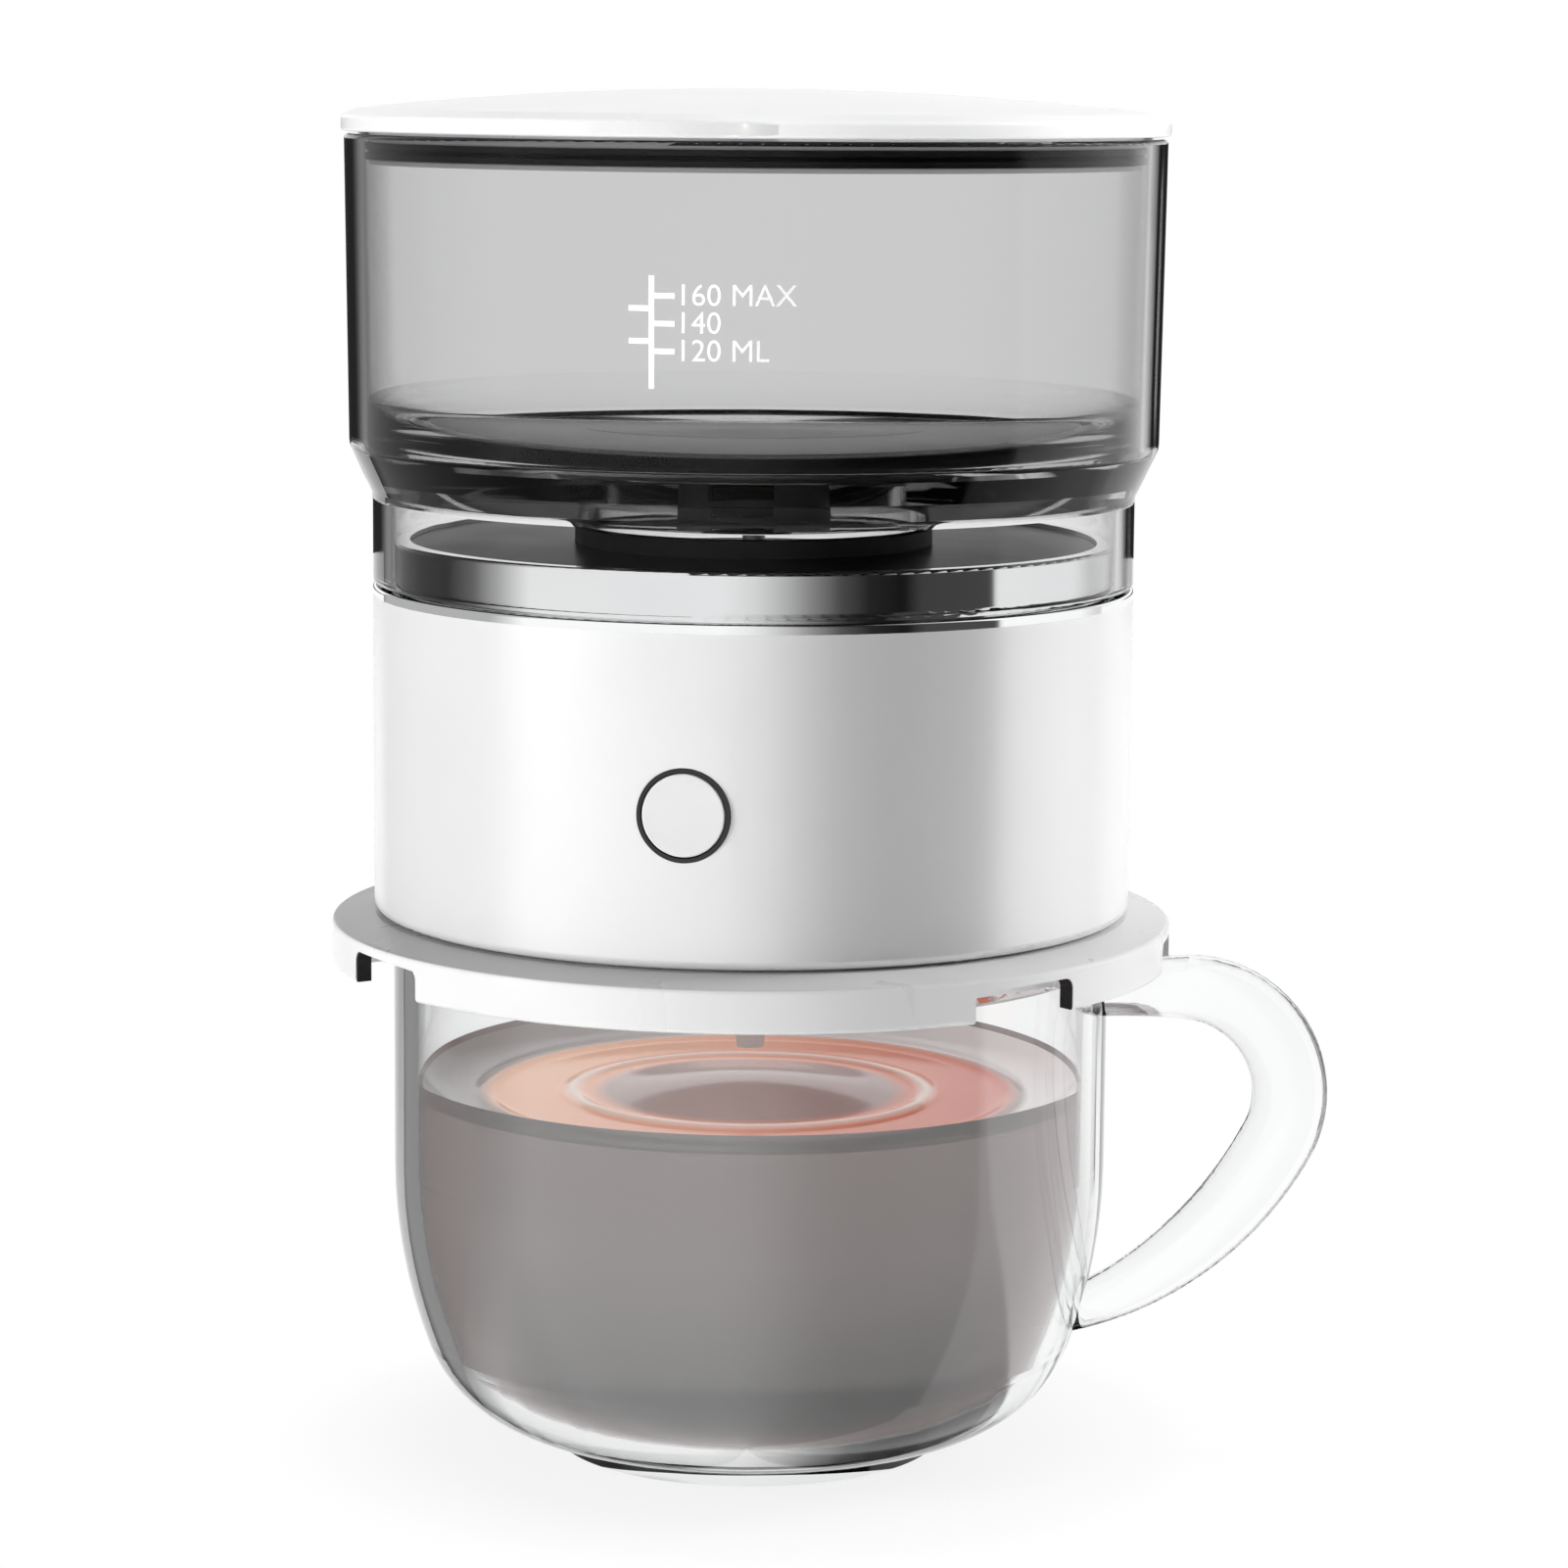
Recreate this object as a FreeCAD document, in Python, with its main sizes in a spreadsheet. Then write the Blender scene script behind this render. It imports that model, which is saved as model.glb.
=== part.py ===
"""Portable drip coffee maker standing on its glass mug.

The frame has its origin at the middle of the mug's foot, +Z up, the push button towards -Y and the mug's
handle towards +X. All sizes are millimetres. Every size that can be set by itself is a named cell of the
sheet, and the features of each piece are bound to those cells.
"""

import FreeCAD
import Part
import Sketcher
import ast
import math
import operator
import os
import re

from FreeCAD import Placement, Rotation, Vector

SIZES = {
    # Glass mug
    "mug_radius": 47.0,
    "mug_height": 67.2,
    "mug_wall": 3.0,
    "mug_lip": 1.4,
    "mug_belly_height": 38.0,
    "mug_belly_radius": 70.0,
    "mug_turn_height": 14.0,
    "mug_turn_radius": 17.3,
    "mug_foot_radius": 25.5,
    "handle_root": 6.4,
    "handle_thickness": 8.4,
    "handle_tip": 4.5,
    "handle_top": 62.9,
    "handle_reach": 71.3,
    "handle_bend": 13.6,
    "handle_arch": 70.0,
    "handle_sweep": 50.6,
    "handle_turn": 26.9,
    "handle_end": 74.0,
    # Clearances
    "rest_gap": 0.3,
    "slip_gap": 0.5,
    "run_gap": 0.06,
    # Cup holder
    "holder_margin": 5.5,
    "skirt_margin": 4.0,
    "holder_wall": 2.2,
    "holder_plate": 4.1,
    "holder_fall": 1.0,
    "holder_overhang": 2.4,
    "holder_edge": 0.6,
    "notch_width": 16.0,
    "notch_height": 4.2,
    "notch_angle": 48.2,
    "notch_round": 1.4,
    "spigot_wall": 1.8,
    "spigot_height": 3.2,
    "rib_wall": 1.2,
    "rib_depth": 2.6,
    "funnel_wall": 1.7,
    "funnel_depth": 9.0,
    "drip_bore": 1.0,
    "drip_wall": 0.8,
    "drip_length": 8.0,
    # Filter
    "filter_ledge": 1.6,
    "filter_step": 3.3,
    "filter_foot": 1.0,
    "filter_height": 30.0,
    "filter_gap": 0.8,
    "filter_draft": 0.5,
    "filter_wall": 1.6,
    "filter_floor": 2.2,
    "window_width": 11.0,
    "window_height": 18.0,
    "window_count": 6,
    "mesh_gauge": 0.4,
    "mesh_gap": 0.1,
    "mesh_hole": 1.2,
    # Powered unit casing
    "body_radius": 49.5,
    "body_wall": 2.4,
    "body_height": 41.3,
    "body_edge": 1.2,
    "trim_ledge": 1.2,
    "trim_height": 6.1,
    "trim_wall": 2.0,
    "deck_thickness": 2.2,
    "deck_drop": 0.6,
    "deck_shelf": 2.0,
    "well_radius": 20.8,
    "well_depth": 4.8,
    "well_wall": 2.0,
    "port_circle": 13.0,
    "port_radius": 1.4,
    "hub_radius": 8.5,
    "hub_bore": 6.2,
    "hub_cap_radius": 11.5,
    "hub_cap_thickness": 1.5,
    # Brew chamber liner
    "liner_radius": 32.0,
    "liner_wall": 1.6,
    "liner_flange": 2.0,
    "liner_raise": 5.1,
    "socket_wall": 1.0,
    "motor_socket_height": 5.0,
    "cell_socket_height": 3.0,
    "boss_radius": 3.0,
    "boss_inset": 2.7,
    "boss_height": 9.0,
    "screw_radius": 1.4,
    "screw_head_radius": 2.6,
    "screw_head_height": 1.7,
    # Shower drive
    "gear_module": 0.8,
    "gear_width": 3.5,
    "gear_backlash": 0.16,
    "pinion_teeth": 14,
    "gutter_floor": 1.5,
    "gutter_height": 5.0,
    "gutter_inset": 3.1,
    "gutter_wall": 1.5,
    "spout_radius": 2.2,
    "spout_bore": 1.2,
    "spout_length": 2.5,
    "spout_gap": 2.3,
    "spout_clear": 1.3,
    "spout_inset": 3.5,
    "motor_radius": 5.0,
    "motor_length": 22.0,
    "motor_nose_radius": 3.0,
    "motor_nose_length": 1.2,
    "shaft_radius": 1.0,
    # Lift valve
    "coil_length": 7.1,
    "pin_radius": 1.5,
    "plunger_radius": 2.0,
    "plunger_length": 3.8,
    "valve_travel": 1.8,
    "seal_thickness": 0.7,
    "valve_seat_bore": 3.0,
    "valve_seat_radius": 5.0,
    "valve_seat_flange": 6.6,
    "valve_seat_lip": 0.8,
    "valve_stem_radius": 1.9,
    "valve_head_radius": 5.4,
    "valve_head_height": 1.2,
    "valve_guide_radius": 1.6,
    "cage_radius": 10.0,
    "cage_wall": 1.5,
    "cage_height": 5.4,
    "cage_roof": 1.0,
    "cage_window": 8.0,
    # Controls and power
    "button_radius": 5.15,
    "button_rise": 19.1,
    "button_thickness": 2.35,
    "button_proud": 0.05,
    "button_travel": 0.8,
    "button_stem_radius": 2.2,
    "button_stem_length": 1.8,
    "bezel_wall": 0.5,
    "bezel_gap": 0.15,
    "bezel_depth": 5.0,
    "bezel_flange_radius": 7.6,
    "bezel_flange": 1.0,
    "board_width": 22.0,
    "board_height": 24.0,
    "board_thickness": 1.6,
    "switch_gap": 1.4,
    "switch_side": 6.0,
    "switch_depth": 3.4,
    "plunger_tip_radius": 1.7,
    "cell_radius": 5.0,
    "cell_length": 24.0,
    "cell_spacing": 25.0,
    "port_width": 8.9,
    "port_height": 3.2,
    "port_depth": 7.0,
    "port_shell": 0.35,
    "charge_board_thickness": 1.2,
    "charge_board_width": 16.0,
    "charge_board_depth": 8.5,
    # Water tank and lid
    "tank_flare": 3.5,
    "tank_draft": 0.5,
    "tank_wall": 2.3,
    "tank_height": 57.6,
    "skirt_height": 11.5,
    "shoulder_height": 6.5,
    "shoulder_round": 2.4,
    "floor_thickness": 2.4,
    "floor_fall": 0.8,
    "sump_radius": 20.3,
    "sump_raise": 0.6,
    "sump_floor": 1.6,
    "collar_wall": 2.5,
    "collar_draft": 1.2,
    "collar_fillet": 3.0,
    "collar_seal_height": 2.1,
    "lid_overhang": 0.4,
    "lid_edge": 2.0,
    "lid_rise": 0.9,
    "lid_crown": 2.8,
    "lid_wall": 2.2,
    "lid_plug_depth": 4.1,
    "lid_plug_wall": 1.9,
    "seal_groove": 0.6,
    "seal_height": 2.2,
    "vent_radius": 0.9,
    "vent_inset": 7.4,
}

FUNCTIONS = {
    "sqrt": math.sqrt,
    "sin": lambda degrees: math.sin(math.radians(degrees)),
    "cos": lambda degrees: math.cos(math.radians(degrees)),
    "ceil": math.ceil,
    "max": max,
}
OPERATORS = {
    ast.Add: operator.add,
    ast.Sub: operator.sub,
    ast.Mult: operator.mul,
    ast.Div: operator.truediv,
    ast.Pow: operator.pow,
}
ON_AXIS = 1e-9
MATCH = 1e-4

doc = FreeCAD.newDocument("drip_coffee_maker")
sheet = doc.addObject("Spreadsheet::Sheet", "sizes")
for row, (alias, number) in enumerate(SIZES.items(), start=1):
    sheet.set(f"A{row}", alias)
    sheet.set(f"B{row}", str(number))
    sheet.setAlias(f"B{row}", alias)
doc.recompute()


def bound(expression):
    """The expression with every size name pointed at its cell of the sheet."""

    def cell(match):
        word = match.group(0)
        return word if word in FUNCTIONS else f"sizes.{word}"

    return re.sub(r"[a-z][a-z_]*[a-z]", cell, expression)


def worked_out(node):
    """The number that one node of a parsed expression comes to."""
    if isinstance(node, ast.Constant):
        return float(node.value)
    if isinstance(node, ast.Name):
        return float(sheet.get(node.id))
    if isinstance(node, ast.UnaryOp):
        return -worked_out(node.operand)
    if isinstance(node, ast.Call):
        return FUNCTIONS[node.func.id](*(worked_out(part) for part in node.args))
    return OPERATORS[type(node.op)](worked_out(node.left), worked_out(node.right))


def value(expression):
    """The number that an expression of size names comes to, for first guesses and for shapes made in code."""
    return worked_out(ast.parse(expression.replace("^", "**")).body[0].value)


# Heights and radii that several pieces share, each worked out from the driving sizes.
HOLDER_UNDER = "(mug_height + rest_gap)"
HOLDER_TOP = f"({HOLDER_UNDER} + holder_plate)"
HOLDER_RADIUS = "max(body_radius + holder_margin, mug_radius + skirt_margin)"
HOLDER_BORE = f"({HOLDER_RADIUS} - holder_wall)"
SKIRT_LOW = f"({HOLDER_UNDER} - holder_overhang)"
HANDLE_NOTCH = "(handle_thickness + slip_gap * 2)"
FILTER_RADIUS = "(liner_radius - filter_gap)"
FILTER_SEAT = f"({FILTER_RADIUS} + filter_step)"
FILTER_BASE = f"({HOLDER_TOP} - filter_ledge)"
FILTER_TOP = f"({FILTER_BASE} + filter_height)"
BODY_LOW = f"({HOLDER_TOP} + rest_gap)"
BODY_TOP = f"({BODY_LOW} + body_height)"
BODY_BORE = "(body_radius - body_wall)"
BOSS_CIRCLE = f"({BODY_BORE} - boss_inset)"
SPIGOT_RADIUS = f"({BODY_BORE} - slip_gap)"
RIB_RADIUS = "(mug_radius - mug_wall - slip_gap)"
FLANGE_LOW = f"({BODY_LOW} + liner_raise)"
FLANGE_TOP = f"({FLANGE_LOW} + liner_flange)"
LINER_OUTER = "(liner_radius + liner_wall)"
LEDGE_TOP = f"({BODY_TOP} + trim_ledge)"
TRIM_TOP = f"({LEDGE_TOP} + trim_height)"
DECK_TOP = f"({TRIM_TOP} - deck_drop)"
DECK_UNDER = f"({DECK_TOP} - deck_thickness)"
WELL_TOP = f"({DECK_TOP} - well_depth)"
WELL_UNDER = f"({WELL_TOP} - well_wall)"
TANK_LOW = f"({LEDGE_TOP} + rest_gap)"
TANK_TOP = f"({TANK_LOW} + tank_height)"
SKIRT_RADIUS = "body_radius"
SKIRT_BORE = f"({SKIRT_RADIUS} - tank_wall)"
TRIM_RADIUS = f"({SKIRT_BORE} - slip_gap)"
TRIM_BORE = f"({TRIM_RADIUS} - trim_wall)"
SHOULDER_LOW = f"({TANK_LOW} + skirt_height)"
SHOULDER_TOP = f"({SHOULDER_LOW} + shoulder_height)"
# The ring gets as many teeth as put the motor just outside the liner.
TOOTH_SUM = f"ceil(2 * ({LINER_OUTER} + motor_radius + slip_gap) / gear_module)"
RING_TEETH = f"({TOOTH_SUM} - pinion_teeth)"
DRIVE_CIRCLE = f"(gear_module * {TOOTH_SUM} / 2)"
GEAR_RIM = f"(gear_module * ({RING_TEETH} - 2.5) / 2 - gutter_wall)"
GUTTER_RADIUS = f"({GEAR_RIM} - gutter_inset)"
GEAR_LOW = f"({FILTER_TOP} + spout_gap + spout_length)"
GEAR_TOP = f"({GEAR_LOW} + gear_width)"
LINER_TOP = f"({GEAR_LOW} - slip_gap)"
CAP_TOP = f"({GEAR_LOW} - rest_gap)"
COIL_TOP = f"({CAP_TOP} + rest_gap / 3 + coil_length)"
COLLAR_LOW = f"({DECK_TOP} + collar_seal_height + rest_gap)"
SUMP_UNDER = f"({COLLAR_LOW} + sump_raise)"
SUMP_TOP = f"({SUMP_UNDER} + sump_floor)"
COLLAR_RADIUS = "(sump_radius + collar_wall)"
PIN_TOP = f"({COLLAR_LOW} + rest_gap)"
STEM_LOW = f"({PIN_TOP} + rest_gap)"
SEAT_TOP = f"({SUMP_TOP} + valve_seat_lip)"
HEAD_LOW = f"({SEAT_TOP} + rest_gap)"
HEAD_TOP = f"({HEAD_LOW} + valve_head_height)"
CAGE_TOP = f"({SUMP_TOP} + cage_height)"
TANK_RADIUS = "(body_radius + tank_flare)"
TANK_BORE = f"({TANK_RADIUS} - tank_wall)"
LID_RADIUS = f"({TANK_RADIUS} + lid_overhang)"
LID_LOW = f"({TANK_TOP} + rest_gap)"
LID_SHOULDER = f"({LID_LOW} + lid_edge + lid_rise)"
PLUG_RADIUS = f"({TANK_BORE} - rest_gap - seal_groove)"
PLUG_LOW = f"({LID_LOW} - lid_plug_depth)"
BUTTON_AXIS = f"({BODY_LOW} + button_rise)"
BUTTON_FACE = "(body_radius + button_proud)"
BEZEL_BORE = "(button_radius + bezel_gap)"
BEZEL_RADIUS = f"({BEZEL_BORE} + bezel_wall)"
BEZEL_BACK = f"({BUTTON_FACE} - bezel_depth)"
BUTTON_BACK = f"({BUTTON_FACE} - button_thickness)"
STEM_BACK = f"({BUTTON_BACK} - button_stem_length)"
SWITCH_FACE = f"({STEM_BACK} - switch_gap)"
BOARD_FACE = f"({SWITCH_FACE} - switch_depth)"
BOARD_BACK = f"({BOARD_FACE} - board_thickness)"
PORT_LOW = f"({FLANGE_TOP} + charge_board_thickness)"


def new_body(label):
    """An empty body that carries the sub-part's name."""
    body = doc.addObject("PartDesign::Body", label)
    body.Label = label
    return body


def datum(body, role):
    """One of the body's own origin planes or axes."""
    return next(part for part in body.Origin.OriginFeatures if part.Role == role)


def new_sketch(body, name, role="XZ_Plane", raised="0"):
    """A sketch on an origin plane of its body, moved along the plane's normal."""
    sketch = body.newObject("Sketcher::SketchObject", f"{body.Name}_{name}")
    sketch.AttachmentSupport = [(datum(body, role), "")]
    sketch.MapMode = "FlatFace"
    sketch.setExpression("AttachmentOffset.Base.z", bound(raised))
    return sketch


def place_point(sketch, geometry, end, across, up):
    """Ties one point of the sketch to its two coordinates."""
    for kind, axis, expression in (("DistanceX", -2, across), ("DistanceY", -1, up)):
        number = value(expression)
        if abs(number) < ON_AXIS:
            sketch.addConstraint(Sketcher.Constraint("PointOnObject", geometry, end, axis))
            continue
        index = sketch.addConstraint(Sketcher.Constraint(kind, -1, 1, geometry, end, number))
        sketch.setExpression(f"Constraints[{index}]", bound(expression))


def arc_between(start, end, radius, turn):
    """The short arc from start to end, turning left for a positive turn, and if it is drawn backwards."""
    chord = end - start
    left = Vector(-chord.y, chord.x, 0).normalize()
    depth = math.sqrt(max(radius**2 - (chord.Length / 2) ** 2, 0.0))
    centre = (start + end) * 0.5 + left * depth * (1 if turn > 0 else -1)
    first, last = (start, end) if turn > 0 else (end, start)
    angles = [math.atan2(p.y - centre.y, p.x - centre.x) for p in (first, last)]
    circle = Part.Circle(centre, Vector(0, 0, 1), radius)
    return Part.ArcOfCircle(circle, *angles), turn < 0


def draw_chain(sketch, corners, closed=True):
    """Lines and arcs through corners given as (across, up), with (radius, turn) where an arc ends there."""
    spots = [Vector(value(corner[0]), value(corner[1]), 0) for corner in corners]
    ends = []
    for number, corner in enumerate(corners):
        if number == 0 and not closed:
            continue
        start, end = spots[number - 1], spots[number]
        if len(corner) == 2:
            index = sketch.addGeometry(Part.LineSegment(start, end))
            ends.append((index, 1, 2))
            continue
        arc, backwards = arc_between(start, end, value(corner[2]), corner[3])
        index = sketch.addGeometry(arc)
        ends.append((index, 2, 1) if backwards else (index, 1, 2))
        rule = sketch.addConstraint(Sketcher.Constraint("Radius", index, value(corner[2])))
        sketch.setExpression(f"Constraints[{rule}]", bound(corner[2]))
    for number in range(0 if closed else 1, len(ends)):
        before, after = ends[number - 1], ends[number]
        sketch.addConstraint(Sketcher.Constraint("Coincident", before[0], before[2], after[0], after[1]))
    placed = corners if closed else corners[1:]
    for (index, _, last), corner in zip(ends, placed):
        place_point(sketch, index, last, corner[0], corner[1])
    if not closed:
        place_point(sketch, ends[0][0], ends[0][1], corners[0][0], corners[0][1])


def draw_rectangle(sketch, left, right, low, high):
    """A closed rectangle between two pairs of coordinates."""
    draw_chain(sketch, [(left, low), (right, low), (right, high), (left, high)])


def draw_circles(sketch, across, up, *radii):
    """Concentric circles about one point, each with its own radius."""
    for radius in radii:
        circle = Part.Circle(Vector(value(across), value(up), 0), Vector(0, 0, 1), value(radius))
        index = sketch.addGeometry(circle)
        place_point(sketch, index, 3, across, up)
        rule = sketch.addConstraint(Sketcher.Constraint("Radius", index, value(radius)))
        sketch.setExpression(f"Constraints[{rule}]", bound(radius))


def turn_solid(body, name, corners, kind="PartDesign::Revolution"):
    """A full turn about Z of an outline given as (radius, height) corners."""
    sketch = new_sketch(body, f"{name}_outline")
    draw_chain(sketch, corners)
    feature = body.newObject(kind, f"{body.Name}_{name}")
    feature.Profile = sketch
    feature.ReferenceAxis = (sketch, ["V_Axis"])
    feature.Angle = 360
    doc.recompute()
    return feature


def push_sketch(body, name, sketch, length, kind="PartDesign::Pad", backwards=False):
    """A pad or a pocket of the sketch, with its length tied to the sheet."""
    before = body.Shape.Volume if body.Tip else 0.0
    feature = body.newObject(kind, f"{body.Name}_{name}")
    feature.Profile = sketch
    feature.Reversed = backwards
    feature.setExpression("Length", bound(length))
    doc.recompute()
    if abs(feature.Shape.Volume - before) < MATCH:
        raise ValueError(f"{feature.Name} changes nothing")
    return feature


def turn_pattern(body, name, features, count):
    """Copies of features spread evenly round Z."""
    pattern = body.newObject("PartDesign::PolarPattern", f"{body.Name}_{name}")
    pattern.Originals = features
    pattern.Axis = (datum(body, "Z_Axis"), [""])
    pattern.Angle = 360
    pattern.setExpression("Occurrences", bound(count))
    body.Tip = pattern
    doc.recompute()
    return pattern


def round_edges(body, name, size, chosen, kind="PartDesign::Fillet"):
    """A fillet or chamfer on every edge of the tip that the chosen test accepts."""
    tip = body.Tip
    edges = [f"Edge{i}" for i, edge in enumerate(tip.Shape.Edges, start=1) if chosen(edge)]
    if not edges:
        raise ValueError(f"{body.Name} has no edge for {name}")
    feature = body.newObject(kind, f"{body.Name}_{name}")
    feature.Base = (tip, edges)
    feature.setExpression("Radius" if kind.endswith("Fillet") else "Size", bound(size))
    doc.recompute()
    return feature


def rim_at(*rims):
    """A test for whole circles about Z, each at its own (radius, height)."""
    wanted = [(value(radius), value(height)) for radius, height in rims]

    def chosen(edge):
        if edge.Degenerated or not isinstance(edge.Curve, Part.Circle):
            return False
        curve = edge.Curve
        if math.hypot(curve.Center.x, curve.Center.y) > MATCH:
            return False
        return any(
            abs(curve.Radius - radius) < MATCH and abs(curve.Center.z - height) < MATCH
            for radius, height in wanted
        )

    return chosen


def on_circle(radius, degrees):
    """Expressions for a point at an angle on a circle about Z."""
    return f"({radius} * cos({degrees}))", f"({radius} * sin({degrees}))"


def plain_feature(label, shape):
    """A sub-part whose shape is worked out from the sheet in code."""
    feature = doc.addObject("Part::Feature", label)
    feature.Label = label
    feature.Shape = shape
    return feature


# Glass mug: a turned bowl with a drawn round handle, hollowed last so that the handle's roots are cut flush.
BELLY_CENTRE = "(mug_radius - mug_belly_radius)"
TURN_DROP = "(mug_belly_height - mug_turn_height)"
TURN_REACH = f"sqrt(mug_belly_radius^2 - {TURN_DROP}^2)"
FOOT_CENTRE = f"({BELLY_CENTRE} + {TURN_REACH} * (1 - mug_turn_radius / mug_belly_radius))"
FOOT_CENTRE_HEIGHT = f"(mug_turn_height + {TURN_DROP} * mug_turn_radius / mug_belly_radius)"
BOWL_UNDER = f"({FOOT_CENTRE_HEIGHT} - mug_turn_radius)"


def bowl_corners(inset):
    """The bowl's curve from its underside to the top of the belly, moved in by the inset."""
    turn, belly = f"(mug_turn_radius - {inset})", f"(mug_belly_radius - {inset})"
    share = f"{belly} / mug_belly_radius"
    return [
        (FOOT_CENTRE, f"({FOOT_CENTRE_HEIGHT} - {turn})"),
        (
            f"({BELLY_CENTRE} + {TURN_REACH} * {share})",
            f"(mug_belly_height - {TURN_DROP} * {share})",
            turn,
            1,
        ),
        (f"(mug_radius - {inset})", "mug_belly_height", belly, 1),
    ]


def make_mug():
    body = new_body("mug")
    outside = [("0", "0"), ("mug_foot_radius", "0"), ("mug_foot_radius", BOWL_UNDER)]
    outside += bowl_corners("0") + [("mug_radius", "mug_height"), ("0", "mug_height")]
    turn_solid(body, "bowl", outside)

    bend_across, bend_up = "(handle_reach - handle_bend)", "(handle_top - handle_bend)"
    root = "(mug_radius - mug_wall)"
    root_up = f"(handle_top - handle_arch + sqrt(handle_arch^2 - ({bend_across} - {root})^2))"
    sweep_across = f"({bend_across} + (handle_bend - handle_sweep) * cos(handle_turn))"
    sweep_up = f"({bend_up} - (handle_bend - handle_sweep) * sin(handle_turn))"
    tip_across = f"({sweep_across} + handle_sweep * cos(handle_end))"
    tip_up = f"({sweep_up} - handle_sweep * sin(handle_end))"
    route = new_sketch(body, "handle_route")
    draw_chain(
        route,
        [
            (root, root_up),
            (bend_across, "handle_top", "handle_arch", -1),
            (f"({bend_across} + handle_bend * cos(handle_turn))",
             f"({bend_up} - handle_bend * sin(handle_turn))", "handle_bend", -1),
            (tip_across, tip_up, "handle_sweep", -1),
        ],
        closed=False,
    )
    section = new_sketch(body, "handle_root_section", "YZ_Plane", root)
    draw_circles(section, "0", root_up, "handle_root / 2")
    waist = new_sketch(body, "handle_waist_section", "YZ_Plane", bend_across)
    draw_circles(waist, "0", "handle_top", "handle_thickness / 2")
    tip = new_sketch(body, "handle_tip_section", "YZ_Plane")
    tip.AttachmentOffset = Placement(Vector(), Rotation(Vector(1, 0, 0), value("handle_end - 90")))
    tip.setExpression("AttachmentOffset.Rotation.Angle", bound("handle_end - 90"))
    tip.setExpression("AttachmentOffset.Base.y", bound(tip_up))
    tip.setExpression("AttachmentOffset.Base.z", bound(tip_across))
    draw_circles(tip, "0", "0", "handle_tip / 2")
    handle = body.newObject("PartDesign::AdditivePipe", "mug_handle")
    handle.Profile = section
    handle.Spine = (route, ["Edge1", "Edge2", "Edge3"])
    handle.Transformation = "Multisection"
    handle.Sections = [(waist, [""]), (tip, [""])]
    doc.recompute()

    inside = bowl_corners("mug_wall")
    above = "(mug_height + mug_wall)"
    hollow = [("0", inside[0][1])] + inside + [("(mug_radius - mug_wall)", above), ("0", above)]
    turn_solid(body, "hollow", hollow, "PartDesign::Groove")
    lip = rim_at(("mug_radius", "mug_height"), ("mug_radius - mug_wall", "mug_height"))
    round_edges(body, "lip_round", "mug_lip", lip)
    return body


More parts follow.
